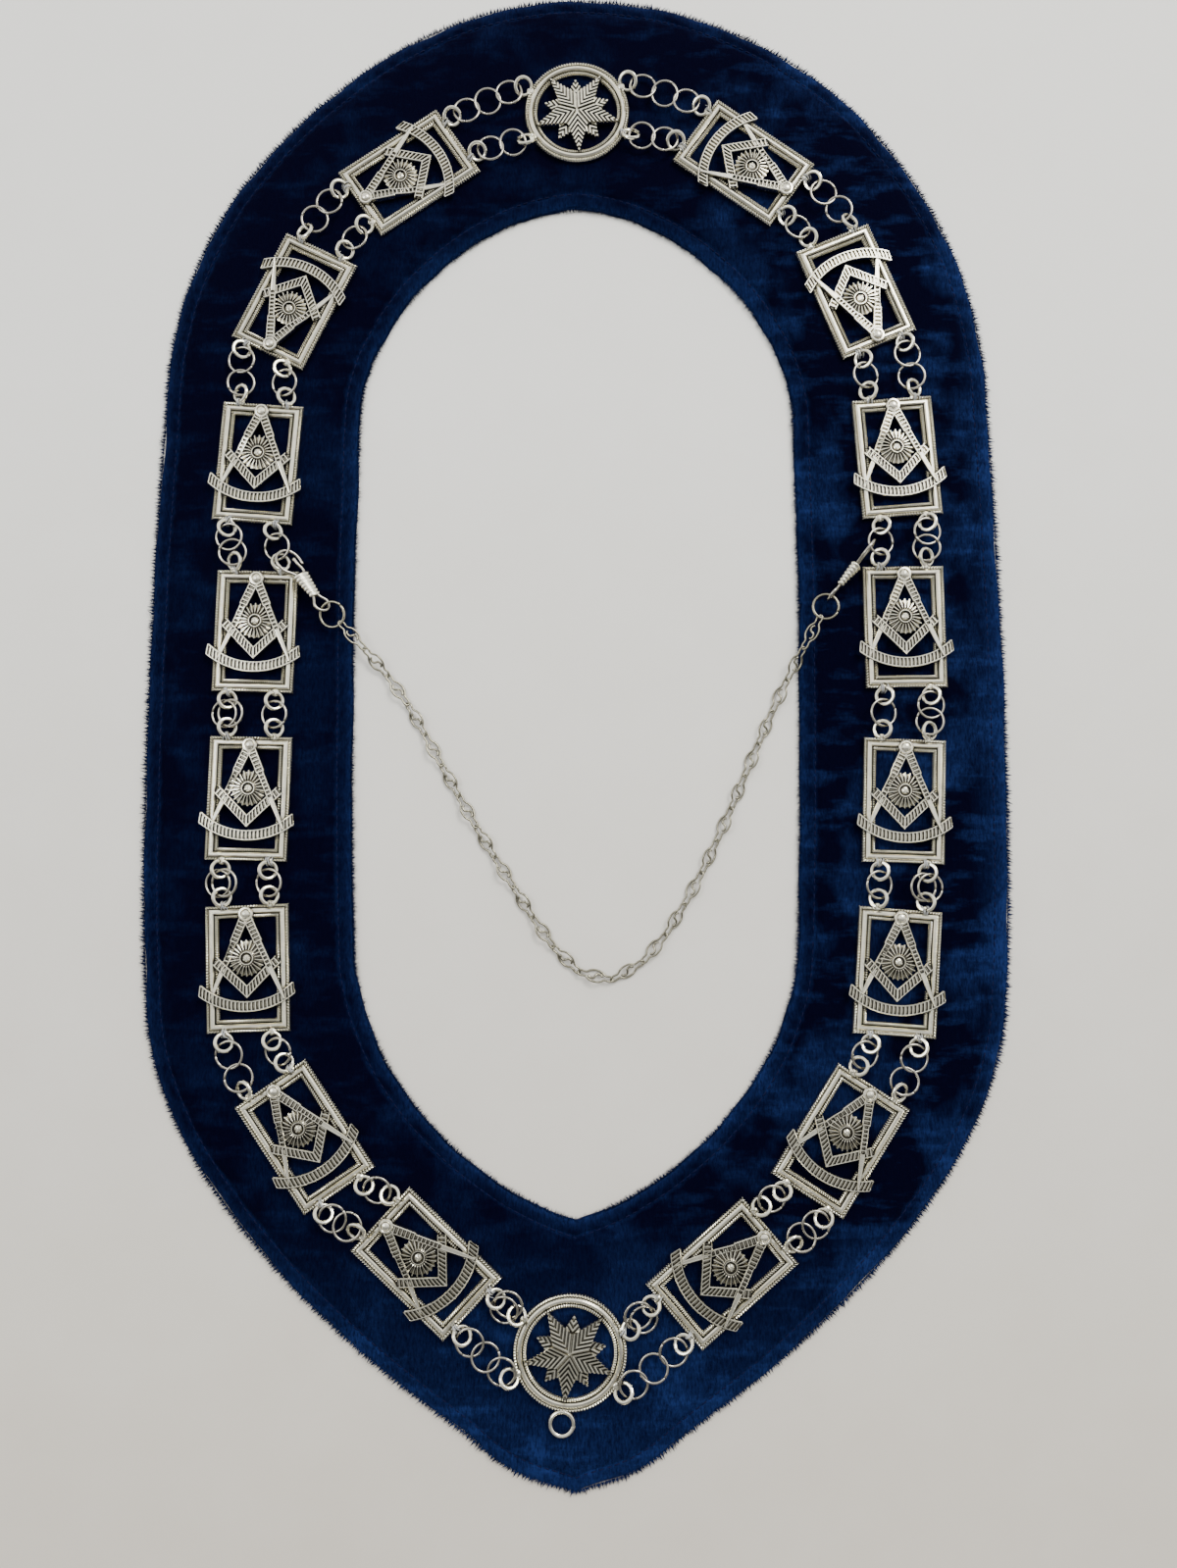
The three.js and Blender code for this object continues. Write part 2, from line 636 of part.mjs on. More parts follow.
function looseChain(leftPose, rightPose) {
  const middle = CHAIN_ROUTE.map(onRoute);
  const left = chainEnd(leftPose, middle[0], CLASP_PLACES[0].chainRoll);
  const right = chainEnd(rightPose, middle[middle.length - 1], CLASP_PLACES[1].chainRoll);
  const curve = new THREE.CatmullRomCurve3([left.start, ...middle, right.start], false, 'centripetal');
  const tube = wireAlong(curve, ellipseShape(CHAIN_THICK, CHAIN_WIDTH, CHAIN_SIDES), CHAIN_STEPS);
  const ends = [left, right].map(({ place }) => wireRing(CHAIN_END_RADIUS, RING_WIRE, RING_SIDES, place));
  return fuse([tube, ...ends]);
}

// Assembly

const collar = new THREE.Group();

function add(name, geometry, material, parent = collar) {
  const mesh = new THREE.Mesh(geometry, material);
  mesh.name = name;
  parent.add(mesh);
  return mesh;
}

function addCastPiece({ name, centre, angle, eyes }) {
  const extras = name === 'bottom_medallion' ? [jewelEye()] : [];
  const geometry = isMedallion(name) ? medallionGeometry(eyes, extras) : plateGeometry(eyes);
  const mesh = add(name, geometry, metal());
  mesh.position.set(centre.x, centre.y, PLATE_FLOOR);
  mesh.rotation.z = angle;
}

add('velvet_collar', velvetBand(), velvet());
castPieces.forEach(addCastPiece);
strings.forEach(({ name, rings }) => add(name, stringGeometry(rings), metal()));

const poses = CLASP_PLACES.map((place) => {
  const pose = claspPose(place);
  add(`clasp_wire_${place.side}`, claspWire(), metal(), pose);
  add(`clasp_sleeve_${place.side}`, claspSleeve(), metal(), pose);
  collar.add(pose);
  return pose;
});
add('centre_chain', looseChain(...poses), metal());

export default collar;
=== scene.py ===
# A chain collar of office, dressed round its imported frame.
# Pieces are in millimetres, and MM turns them into metres; lights and materials are in metres.
# +X is the photograph's right, +Y the back of the neck, +Z up from the surface.

import math
import random
from functools import partial

import bmesh
import bpy
import numpy as np
from mathutils import Matrix, Vector


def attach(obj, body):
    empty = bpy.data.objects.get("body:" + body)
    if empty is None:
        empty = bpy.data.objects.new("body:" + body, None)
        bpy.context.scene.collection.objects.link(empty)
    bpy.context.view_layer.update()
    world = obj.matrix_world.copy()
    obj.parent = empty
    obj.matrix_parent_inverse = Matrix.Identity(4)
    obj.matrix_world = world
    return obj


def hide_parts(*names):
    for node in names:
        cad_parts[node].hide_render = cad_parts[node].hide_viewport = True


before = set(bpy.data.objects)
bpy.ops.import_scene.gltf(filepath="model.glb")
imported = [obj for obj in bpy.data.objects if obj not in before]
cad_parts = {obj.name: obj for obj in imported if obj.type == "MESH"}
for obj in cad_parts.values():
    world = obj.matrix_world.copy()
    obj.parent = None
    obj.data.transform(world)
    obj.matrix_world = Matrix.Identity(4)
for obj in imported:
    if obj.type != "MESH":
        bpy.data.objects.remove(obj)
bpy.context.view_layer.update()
MM = 0.001
SEED = 7
random.seed(SEED)

# Wires and curves
WIRE_END_REACH = 0.4
WIRE_END_SHARE = 0.6
SPLINE_STEPS = 12
DIRECTION_STEP = 0.05
CLOSEST = 1e-6
CLOSEST_LENGTH = 1e-9

# Velvet band
COLLAR_LENGTH = 526.8
COLLAR_WIDTH = 299.6
NECK_WIDTH = 156.8
NECK_LENGTH = 360.6
NECK_MIDDLE_Y = 5.7
VELVET_THICK = 3.2
SEAM_INSET = 5
HALF_WIDTH = COLLAR_WIDTH / 2
HALF_LENGTH = COLLAR_LENGTH / 2
OUTER_CROWN = (0.979, 0.408)
OUTER_SIDE = [(0.996, 0.228), (1.013, -0.228), (0.981, -0.383)]
OUTER_FRONT = [(0.961, -0.645), (0.347, -0.904), (0, -1)]
NECK_CROWN = [(0.383, 1), (0.957, 0.778), (0.985, 0.565)]
NECK_SIDE = [(1.008, 0.301), (1.008, -0.253), (0.968, -0.52)]
NECK_FRONT = [(0.931, -0.708), (0.536, -0.925), (0, -1)]
BAND_STEPS = {"crown": 100, "side": 62, "front": 72}
# Distance from an edge and height there, then shares of the width at full height
EDGE_HEIGHTS = [(0, 0.5), (0.25, 1.1), (0.8, 1.6), (2.2, 2.0), (3.6, 2.2), (4.5, 2.1), (5, 1.75),
                (5.5, 2.1), (6.5, 2.5), (9, 2.8), (13, 3.05)]
CREST_SHARES = [0.3, 0.4, 0.5, 0.6, 0.7]
EDGE_WOBBLE = 0.35
TUFT_PITCH = 1.3
NECK_TUFT_SHARE = 0.6
# Part of the outer edge that lies farther in than its mirror image
LEFT_CROWN = {"middle": (-90, 232), "reach": 62, "shift": (3.9, -1.6)}
NECK_CREST_DROP = 3
NECK_CREST_REACH = 42
TIP_SPREAD = 4
TIP_LIFT = 1.8
TIP_SPREAD_RISE = 9
OUTER_WOBBLE = {"seed": 3, "waves": (11, 17, 29, 53)}
NECK_WOBBLE = {"seed": 5, "waves": (9, 15, 23, 41)}
BACK_SHARES = [1, 0.75, 0.5, 0.25, 0]
RIPPLE_HEIGHT = 0.1
RIPPLE_LENGTHS = (7.1, 9.3)
RIPPLE_BEND = 1.3
RIPPLE_BEND_LENGTH = 19
RIPPLE_FADE = 8
PUCKER_HEIGHT = 0.16
PUCKER_BAND = (3, 7.5)
PUCKER_LENGTHS = (1.7, 1.1)
CREST_EASE_START = 2.9
CREST_EASE = 0.3
LOWEST_PILE = 0.1

# Pile and seam
PILE_INSET = 0.35
FIBRE_PITCH = 0.085
# Ranges of length, root height, the tip's rise and half width; a lean is a middle and a spread
FIBRE = {"length": (0.9, 2.1), "lean": (0, 0.35), "root": (0.25, 1.5), "rise": (-0.15, 0.35)}
FIBRE_HALF = 0.08
FIBRE_CLUMP = 0.3
CLUMP_WAVES = [(1.3, 0.9), (-0.4, 1.7)]
TUFT = {"length": (1.5, 2.8), "lean": (0.15, 0.2), "root": (0.6, 1.4), "half": (0.25, 0.5)}
TUFT_FALL = 0.1
TUFT_THICK = 0.3
STITCH_PITCH = 2.7
STITCH_HALF = 1.1
STITCH_RADIUS = 0.17
# Share of a stitch's half length, and height there
STITCH_ARCH = [(-1, 1.55), (-0.6, 1.98), (0, 2.08), (0.6, 1.98), (1, 1.55)]

# Cast plates
PLATE_LENGTH = 43
PLATE_WIDTH = 28.4
BAR_WIDTH = 4.5
PLATE_FLOOR = 3.5
BEAD_PITCH = 1
STEPS_PER_BEAD = 4
# Across a bar from its outer edge: share of its width, height, depth of the milling there
BAR_PROFILE = [(0, 0, 0), (0, 1.1, 0.2), (0.05, 1.7, 0.5), (0.12, 1.85, 0.5), (0.19, 1.7, 0.4),
               (0.24, 1.2, 0), (0.31, 1.6, 0), (0.42, 2.0, 0), (0.56, 2.0, 0), (0.64, 1.6, 0),
               (0.69, 1.0, 0), (0.75, 1.5, 0.3), (0.85, 1.75, 0.45), (0.94, 1.5, 0.3), (1, 0.9, 0),
               (1, 0, 0)]
RELIEF_FLOOR = 0.9
CHANNEL_RIM = 0.45
CHANNEL_SLOPE = 0.05
NARROWEST_BED = 0.1
BEVEL_WIDTH = 0.15
BEVEL_HEIGHT = 0.2

# Compass, square, arc and sun
RIVET_Y = 18.4
BOSS_RADIUS = 2.5
BOSS_SIDES = 32
RIVET_RADIUS = 1.35
# Radius of the small hole that stands for the middle of a turned profile
CORE = 0.05
# Turned profile of the compass head: radius and height
BOSS_PROFILE = [(CORE, RELIEF_FLOOR), (BOSS_RADIUS, RELIEF_FLOOR), (BOSS_RADIUS, 2.9),
                (BOSS_RADIUS - 0.25, 3.2), (BOSS_RADIUS - 0.7, 3.25), (RIVET_RADIUS + 0.1, 3.0),
                (RIVET_RADIUS, 3.3), (RIVET_RADIUS * 0.75, 3.6), (RIVET_RADIUS * 0.4, 3.75),
                (CORE, 3.8)]
LEG_LENGTH = 31.6
LEG_SPREAD = 23.8
LEG_TOP = 3.1
LEG_STEP = 10.5
LEG_PLAIN = 19.5
LEG_HEAD_HALVES = (1.55, 1.4)
LEG_GROOVED_HALF = 1.05
LEG_POINT_HALVES = (0.85, 0.3)
LEG_POINT_DEPTH = 0.02
LEG_DIP_START = 11
LEG_DIP_LENGTH = 5
LEG_RIM = 0.4
LEG_UNDER_TOP = 2.2
LEG_OVER_TOP = 3.2
SQUARE_CORNER_Y = -7.8
SQUARE_ARM = 15.2
SQUARE_WIDTH = 3.1
SQUARE_TOP = 2.6
ARC_CENTRE_Y = 12.2
ARC_RADIUS = 24.9
ARC_WIDTH = 3.6
ARC_SPREAD = 42
ARC_TIP_CUT = 8
ARC_TIP_REACH = 1.5
ARC_TIP_SKEW = 0.25
ARC_TOP = 2.6
TICK_PITCH = 1.4
TICK_DEPTH = 0.75
TICK_LAND = 0.05
TICK_SHIFT = 0.1
TICK_SHARE = 0.5
SUN_Y = 3.5
SUN_RADIUS = 6.2
SUN_FACE_RADIUS = 1.9
SUN_RAYS = 22
SUN_RAY_DEPTH = 1
SUN_RAY_LEAN = 0.18
SUN_GAP_DROP = 0.5
SUN_COLLAR_WIDTH = 0.45
FACE_BALL_RADIUS = SUN_FACE_RADIUS - 0.35
# Parts of the small face: the hands they stand on, their place from the sun's middle, their
# radii, and the rings and sides of their mesh
FACE_PARTS = [
    {"hands": (1,), "at": (0, 0, 1.7), "radii": (FACE_BALL_RADIUS, FACE_BALL_RADIUS, 0.95),
     "mesh": (8, 20)},
    {"hands": (-1, 1), "at": (0.7, 0.5, 2.5), "radii": (0.36, 0.17, 0.25), "mesh": (4, 8)},
    {"hands": (-1, 1), "at": (0.85, -0.45, 2.4), "radii": (0.4, 0.35, 0.25), "mesh": (4, 8)},
    {"hands": (1,), "at": (0, 0.1, 2.65), "radii": (0.2, 0.55, 0.3), "mesh": (4, 8)},
    {"hands": (1,), "at": (0, -0.95, 2.45), "radii": (0.5, 0.15, 0.2), "mesh": (4, 8)},
]

# Medallions
MEDALLION_RADIUS = 18.9
STAR_POINTS = 5
STAR_RADIUS = 15.6
STAR_NOTCH = 6.3
STAR_TOP = 2.8
SHORT_STAR_RADIUS = 12.3
SHORT_STAR_NOTCH = 6.6
SHORT_STAR_TOP = 2.0
# Rise of a star's ridge over its level in the middle and at the tips
STAR_RIDGE = (0.25, -0.3)
RIB_PITCH = 2.05
RIB_DEPTH = 0.72
# Depth at equal steps of one rib, from 0 on its ridge to 1 in the groove
RIB_PROFILE = [1, 1, 0, 0, 0]
MEDALLION_EYE_ANGLE = 28
MEDALLION_EYE_REACH = 2.6
JEWEL_EYE_RADIUS = 3.85
JEWEL_EYE_WIRE = 1.4
JEWEL_EYE_HEIGHT = 1
JEWEL_EYE_STEPS = 40

# Eyes and jump rings
EYE_RADIUS = 2.9
EYE_WIRE = 1.34
EYE_REACH = 2.95
EYE_SPREAD = 8.1
EYE_HEIGHT = 2.2
EYE_SWEEP = 328
EYE_STEPS = 26
EYE_SIDES = 10
FOOT_HEIGHT = 1.0
FOOT_RADII = (1.5, 1.5, 0.9)
FOOT_MESH = (6, 14)
RING_RADIUS = 4.6
RING_WIRE = 0.92
LINK_LEVEL = 5.7
SHORTEST_REACH = 3.3
LONGEST_REACH = 5.95
RING_TAUT = 2 * RING_RADIUS - RING_WIRE + 0.1
PAIR_SPREAD = 1.2
PAIR_STACK = 0.15
FLAT_ROLL = 15
FLAT_EYE_ROLL = 29
SERIES_ROLL = 6
SERIES_EYE_ROLL = 32
RING_CUT = 5
RING_CUT_TURNS = (90, 270)
RING_CUT_SPREAD = 35
RING_STEPS = 30
# Rings in the strings beside a medallion and between two plates, where the span allows
RING_COUNTS = {"medallion": {"outer": 3, "inner": 2}, "plates": {"outer": 2, "inner": 1}}

# Wire clasps and the loose chain
CLASP_LENGTH = 26
CLASP_WIRE = 1.04
SLEEVE_LENGTH = 9.3
SLEEVE_WIDE = 6.8
SLEEVE_NARROW = 4.2
SLEEVE_WALL = 0.5
SLEEVE_RIBS = 7
SLEEVE_RIB_DEPTH = 0.49
SLEEVE_STEPS_PER_RIB = 6
SLEEVE_SIDES = 40
CHAIN_END_RADIUS = 4.4
CHAIN_END_REACH = 5
CHAIN_WIRE = 0.72
CHAIN_PITCH = 12.5
CHAIN_ROLL = 20
CHAIN_SIDES = 7
CHAIN_OVERLAP = 0.45
CHAIN_ROUTE_STEPS = 600
CHAIN_END_CUT = 95
CHAIN_END_SWEEP = 354
LINK_GAP = 0.1
LINK_STEPS = 64
# A quarter of a link's outline: from its middle, then back from its end
LINK_QUARTER = [(0, 2.05), (1.2, 1.95), (2.3, 1.5), (3.0, 0.95), (3.7, 0.75), (4.7, 0.9)]
LINK_LOOP = [(1.2, 0.92), (0.4, 0.65), (0, 0)]
HALF_SCROLL = [(2.3, 0.2, 0), (2.0, 0.75, 0), (1.2, 0.95, 0), (0.4, 0.75, 0.1)]
SCROLL_RISE = 0.2
SCROLL_SHARE = 0.55
SCROLL_STEPS = 34

# Where the cast pieces lie: shares of half the collar's width and length, and the turn in degrees
CAST_PLACES = {
    "top_medallion": (0.001, 0.827, 3),
    "plate_left_1": (-0.404, 0.740, 124.5),
    "plate_left_2": (-0.673, 0.556, 154),
    "plate_left_3": (-0.751, 0.330, -4.2),
    "plate_left_4": (-0.747, 0.101, -1.4),
    "plate_left_5": (-0.753, -0.121, -1.2),
    "plate_left_6": (-0.745, -0.341, 2.3),
    "plate_left_7": (-0.608, -0.554, 34.4),
    "plate_left_8": (-0.332, -0.711, 46.8),
    "plate_right_1": (0.403, 0.754, -125.5),
    "plate_right_2": (0.667, 0.570, -157.4),
    "plate_right_3": (0.756, 0.338, 4.3),
    "plate_right_4": (0.765, 0.107, 0.7),
    "plate_right_5": (0.754, -0.124, -2.1),
    "plate_right_6": (0.730, -0.346, -4.3),
    "plate_right_7": (0.594, -0.559, -32.7),
    "plate_right_8": (0.326, -0.723, -49),
    "bottom_medallion": (-0.012, -0.819, -6.8),
}
PLATES_PER_SIDE = 8

# The ring that each clasp hooks into, and how the clasp lies there, in degrees and millimetres
CLASP_PLACES = {
    "left": {"gap": 3, "heading": -55, "roll": -33, "lift": 0.45, "shift": 1.4, "hold": 17.8,
             "chain_roll": 14, "flatness": 0.46},
    "right": {"gap": 3, "heading": -129, "roll": -85, "lift": 1.35, "shift": -1.6, "hold": 17.4,
              "chain_roll": 6, "flatness": 0.68},
}

# Wire of a clasp in its own plane, as shares of its length: along it towards the eye, and across
CLASP_ROUTE = [
    (-0.308, 0.115), (-0.410, 0.118), (-0.488, 0.096), (-0.550, 0.050), (-0.578, -0.015),
    (-0.574, -0.090), (-0.532, -0.162), (-0.442, -0.200), (-0.315, -0.177), (-0.225, -0.095),
    (-0.155, -0.058), (0, -0.047), (0.175, -0.037), (0.232, -0.062), (0.295, -0.095),
    (0.372, -0.078), (0.418, 0.005), (0.372, 0.085), (0.295, 0.100), (0.232, 0.062),
    (0.175, 0.037), (0, 0.047), (-0.155, 0.058), (-0.235, 0.070), (-0.330, 0.050), (-0.425, 0.045),
]
CLASP_EYE = (0.325, 0.005)

# Route of the loose chain between its two end rings, left to right
CHAIN_ROUTE = [
    (-76.3, 23.4, 4.5), (-72.2, 18.6, 2.7), (-67.5, 13.3, 1.4), (-59.8, 2.9, 1.15),
    (-47.2, -19.2, 1.15), (-34.8, -41.1, 1.15), (-21.4, -62.4, 1.15), (-7.1, -83.5, 1.15),
    (2.3, -92.2, 1.15), (8, -94.8, 1.15), (14.2, -93.2, 1.15), (24.5, -86.5, 1.15),
    (38.8, -65.8, 1.15), (50.2, -43.1, 1.15), (60.6, -19.2, 1.15), (68.4, -1.5, 1.15),
    (72.2, 6.8, 1.4), (75.3, 13, 2.7), (78.6, 19.4, 4.4),
]

# Sewing thread over the eyes
UNSEWN_SHARE = 0.35
TACKS_PER_EYE = 3
TACK_SHIFT = 1.1
TACK_LEAN = 0.5
TACK_RADIUS = 0.2
# Distance across the foot and height there
TACK_ARCH = [(-1.5, -0.35), (-1.3, 1.2), (-0.7, 2.1), (0, 2.35), (0.7, 2.1), (1.3, 1.2), (1.5, -0.35)]
LOOSE_REACH = (1.4, 2.8)
LOOSE_BEND = 0.4
LOOSE_RADIUS = 0.12
# Share of a loose end's reach and height there
LOOSE_ROUTE = [(0, 2.2), (0.4, 2.6), (0.75, 2.0), (1, 1.4)]

# Looks
METALS = {
    "silver_plating": {"bright": (0.96, 0.92, 0.75), "dark": (0.045, 0.036, 0.023),
                       "rough": (0.12, 0.26), "grain": 0.25},
    "ring_plating": {"bright": (0.5, 0.47, 0.4), "dark": (0.07, 0.058, 0.042),
                     "rough": (0.12, 0.25), "grain": 0.08},
    "chain_plating": {"bright": (0.33, 0.31, 0.23), "dark": (0.03, 0.026, 0.018),
                      "rough": (0.16, 0.3), "grain": 0.1},
}
# Reach and samples of the ambient occlusion that paints shade into the recesses
RECESS_REACH = 0.0016
RECESS_SAMPLES = 8
VELVET_DARK = (0.0008, 0.00055, 0.0066)
# Colour of the sheen painted on the nap
VELVET_PAINTED_SHEEN = (0.0115, 0.0235, 0.098)
# Where sheen is painted lighter on the nap: axis, start and end along it, and the mask's values there
VELVET_SHEEN_MASKS = {
    "east": ("X", 0, 0.11, 0.2, 0.72),
    "brim": ("X", 0.136, 0.148, 0, 0.32),
    "south": ("Y", -0.17, -0.25, 0, 1),
    "edge": ("Z", 0.0024, 0.0014, 0.02, 0.4),
}
# Share of painted sheen at the tip
TIP_SHEEN = 0.35
# Scales of the painted sheen's clouds and crushed patches, of the streaks that break up the sheen and
# bump the pile, and of the tufts
CLOUD_SCALE = (26, 20, 9)
CRUSHED_SHEEN_SCALE = (45, 150, 30)
STREAK_SCALE = (1500, 420, 900)
TUFT_SCALE = (2600, 1500, 1500)
THREADS = {
    "navy_thread": {"light": (0.006, 0.008, 0.05), "shadow": (0.002, 0.003, 0.016), "translucent": 0},
    "pale_thread": {"light": (0.85, 0.86, 0.85), "shadow": (0.6, 0.61, 0.6), "translucent": 0.35},
}
# Floor colours near and towards the window; the change between them is painted light
FLOOR_NEAR = (0.725, 0.668, 0.57)
FLOOR_FAR = (0.966, 0.955, 0.895)
FLOOR_HALF = 6
FLOOR_DROP = 0.0002
ROOM_COLOUR = (0.98, 0.985, 1, 1)
# Two directions along Y in the room, and its strength in each
ROOM_SPAN = (-0.36, 0.12, 0.3, 1.25)
LIGHTS = {
    "window": {"place": (0.8, 1.0, 1.3), "size": 0.8, "power": 24, "colour": (1, 0.985, 0.95)},
    "fill": {"place": (-0.9, 0.2, 1.3), "size": 0.6, "power": 6, "colour": (0.96, 0.98, 1)},
}

# The photograph's camera
LENS = 27.06
CAMERA_TILT = 5
CAMERA_PLACE = (4.3, -62.3, 409.4)


# Mesh building

class Body:
    """Points and faces of one piece, in millimetres."""

    def __init__(self):
        self.points = []
        self.faces = []

    def add(self, points, faces):
        base = len(self.points)
        self.points.extend(points)
        self.faces.extend(tuple(base + i for i in face) for face in faces)

    def add_body(self, other, matrix):
        turned = np.array(other.points) @ np.array(matrix.to_3x3()).T + np.array(matrix.translation)
        self.add(turned.tolist(), other.faces)


def piece(name, body, material, replaced=(), smooth=True):
    """Makes the object of a body, riding on the collar."""
    mesh = bpy.data.meshes.new(name)
    mesh.from_pydata((np.array(body.points) * MM).tolist(), [], body.faces)
    work = bmesh.new()
    work.from_mesh(mesh)
    bmesh.ops.recalc_face_normals(work, faces=work.faces)
    work.to_mesh(mesh)
    work.free()
    mesh.materials.append(material)
    if smooth:
        mesh.shade_smooth()
    else:
        mesh.shade_flat()
    made = bpy.data.objects.new(name, mesh)
    bpy.context.scene.collection.objects.link(made)
    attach(made, "root")
    if replaced:
        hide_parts(*replaced)
    return made


def loft(body, stations, closed=False):
    """Joins rings of equally many points, and caps the ends of an open row."""
    count = len(stations)
    sides = len(stations[0])
    points = [point for station in stations for point in station]
    faces = []
    for s in range(count if closed else count - 1):
        here = s * sides
        there = (s + 1) % count * sides
        for k in range(sides):
            up = (k + 1) % sides
            faces.append((here + k, there + k, there + up, here + up))
    if not closed:
        for station, start in ((stations[0], 0), (stations[-1], (count - 1) * sides)):
            points.append(tuple(np.mean(np.array(station), axis=0)))
            hub = len(points) - 1
            faces.extend((start + k, start + (k + 1) % sides, hub) for k in range(sides))
    body.add(points, faces)


def wire(body, path, radius, sides, closed=False):
    """A round wire along a path, with eased ends where it is open."""
    path = [Vector(point) for point in path]
    count = len(path)
    tangents = []
    for k in range(count):
        before = path[(k - 1) % count] if closed or k > 0 else path[0]
        after = path[(k + 1) % count] if closed or k < count - 1 else path[-1]
        tangents.append((after - before).normalized())
    normal = tangents[0].orthogonal().normalized()
    stations = []
    for point, tangent in zip(path, tangents):
        normal = (normal - tangent * normal.dot(tangent)).normalized()
        stations.append(circle(point, normal, tangent.cross(normal), radius, sides))
    if not closed:
        start = wire_end(stations[0], path[0], -tangents[0], radius)
        end = wire_end(stations[-1], path[-1], tangents[-1], radius)
        stations = [start, *stations, end]
    loft(body, stations, closed)


def wire_end(station, centre, outward, radius):
    """A narrower ring just past a wire's end, which rounds it off."""
    first = (Vector(station[0]) - centre).normalized()
    second = (Vector(station[len(station) // 4]) - centre).normalized()
    past = centre + outward * radius * WIRE_END_REACH
    return circle(past, first, second, radius * WIRE_END_SHARE, len(station))


def polar(radius, angle):
    """X and Y at a distance and an angle in radians."""
    return radius * math.cos(angle), radius * math.sin(angle)


def upright(profile, angle, y):
    """A profile of radii and heights, turned about an upright axis at Y."""
    return [(r * math.cos(angle), y + r * math.sin(angle), z) for r, z in profile]


def circle(centre, first, second, radius, sides):
    angles = [math.tau * k / sides for k in range(sides)]
    return [tuple(centre + radius * (math.cos(a) * first + math.sin(a) * second)) for a in angles]


def flat_arc(radius, start, sweep, steps):
    """Points of an arc in the XY plane, angles in degrees."""
    angles = [math.radians(start + sweep * k / steps) for k in range(steps + 1)]
    return [Vector((*polar(radius, a), 0)) for a in angles]


def turned(points, matrix):
    return [matrix @ point for point in points]


def lay_matrix(place):
    """Matrix of a flat ring that is rolled about its heading and then turned to it."""
    x, y, z, heading, roll = place
    turn = Matrix.Rotation(heading, 4, "Z") @ Matrix.Rotation(math.radians(roll), 4, "X")
    return Matrix.Translation((x, y, z)) @ turn


def dome(body, centre, radii, rings, sides):
    """A small closed ellipsoid."""
    cx, cy, cz = centre
    rx, ry, rz = radii
    stations = []
    for k in range(1, rings):
        tilt = math.pi * k / rings
        ring = [polar(math.sin(tilt), math.tau * j / sides) for j in range(sides)]
        stations.append([(cx + rx * x, cy + ry * y, cz + rz * math.cos(tilt)) for x, y in ring])
    loft(body, stations)


def blend(first, second, share):
    return first + (second - first) * share


def spline(points, steps):
    """Centripetal Catmull-Rom curve through the points, sampled evenly along its length."""
    points = [Vector(point) for point in points]
    points = [2 * points[0] - points[1], *points, 2 * points[-1] - points[-2]]
    fine = []
    for k in range(1, len(points) - 2):
        fine.extend(segment(points[k - 1:k + 3]))
    fine.append(points[-2])
    return even(fine, steps)


def segment(four):
    """Points of the curve between the middle two of four points."""
    knots = [0]
    for first, second in zip(four, four[1:]):
        knots.append(knots[-1] + max((second - first).length, CLOSEST) ** 0.5)
    found = []
    for k in range(SPLINE_STEPS):
        t = blend(knots[1], knots[2], k / SPLINE_STEPS)
        row = [mix_knots(four[j], four[j + 1], knots[j], knots[j + 1], t) for j in range(3)]
        row = [mix_knots(row[j], row[j + 1], knots[j], knots[j + 2], t) for j in range(2)]
        found.append(mix_knots(row[0], row[1], knots[1], knots[2], t))
    return found


def mix_knots(first, second, low, high, t):
    return first * ((high - t) / (high - low)) + second * ((t - low) / (high - low))


def running_lengths(points):
    """Length along a line at each of its points."""
    lengths = [0]
    for first, second in zip(points, points[1:]):
        lengths.append(lengths[-1] + (second - first).length)
    return lengths


def even(points, steps):
    """The same line in equal steps."""
    lengths = running_lengths(points)
    return [at_length(points, lengths, lengths[-1] * k / steps) for k in range(steps + 1)]


def at_length(points, lengths, s):
    """Point at a length along a line, which runs on straight past its ends."""
    k = int(np.clip(np.searchsorted(lengths, s) - 1, 0, len(points) - 2))
    share = (s - lengths[k]) / max(lengths[k + 1] - lengths[k], CLOSEST_LENGTH)
    return blend(points[k], points[k + 1], share)


# Cast work

def mill(distance):
    """How deep the milling is at a distance along it, from 0 on a bead to 1 between two."""
    return 1 - abs(math.sin(math.pi * distance / BEAD_PITCH))


def bar_station(place, distance):
    """A section of a frame bar, where place gives the point at a distance in from the edge."""
    dip = mill(distance)
    return [(*place(share * BAR_WIDTH), height - depth * dip) for share, height, depth in BAR_PROFILE]


def plate_frame(body):
    corners = [(1, 1), (-1, 1), (-1, -1), (1, -1)]
    stations = []
    for first, second in zip(corners, corners[1:] + corners[:1]):
        length = PLATE_LENGTH if first[0] == second[0] else PLATE_WIDTH
        count = round(length / BEAD_PITCH) * STEPS_PER_BEAD
        for k in range(count):
            share = k / count
            sx = blend(first[0], second[0], share)
            sy = blend(first[1], second[1], share)

            def place(inward):
                return sx * (PLATE_WIDTH / 2 - inward), sy * (PLATE_LENGTH / 2 - inward)
            stations.append(bar_station(place, k / STEPS_PER_BEAD))
    loft(body, stations, closed=True)


def channel_section(half, top, sunk, rim=CHANNEL_RIM):
    """Across a strip: raised borders with a channel between them, as (across, height)."""
    bed = max(half - rim, NARROWEST_BED)
    right = [(bed, top - sunk), (bed + CHANNEL_SLOPE, top), (half - BEVEL_WIDTH, top),
             (half, top - BEVEL_HEIGHT), (half, RELIEF_FLOOR)]
    return [(-a, z) for a, z in reversed(right)] + right


def tick_depth(distance):
    """Depth of a channel with raised ticks across it."""
    return TICK_DEPTH if (distance / TICK_PITCH + TICK_SHIFT) % 1 > TICK_SHARE else TICK_LAND


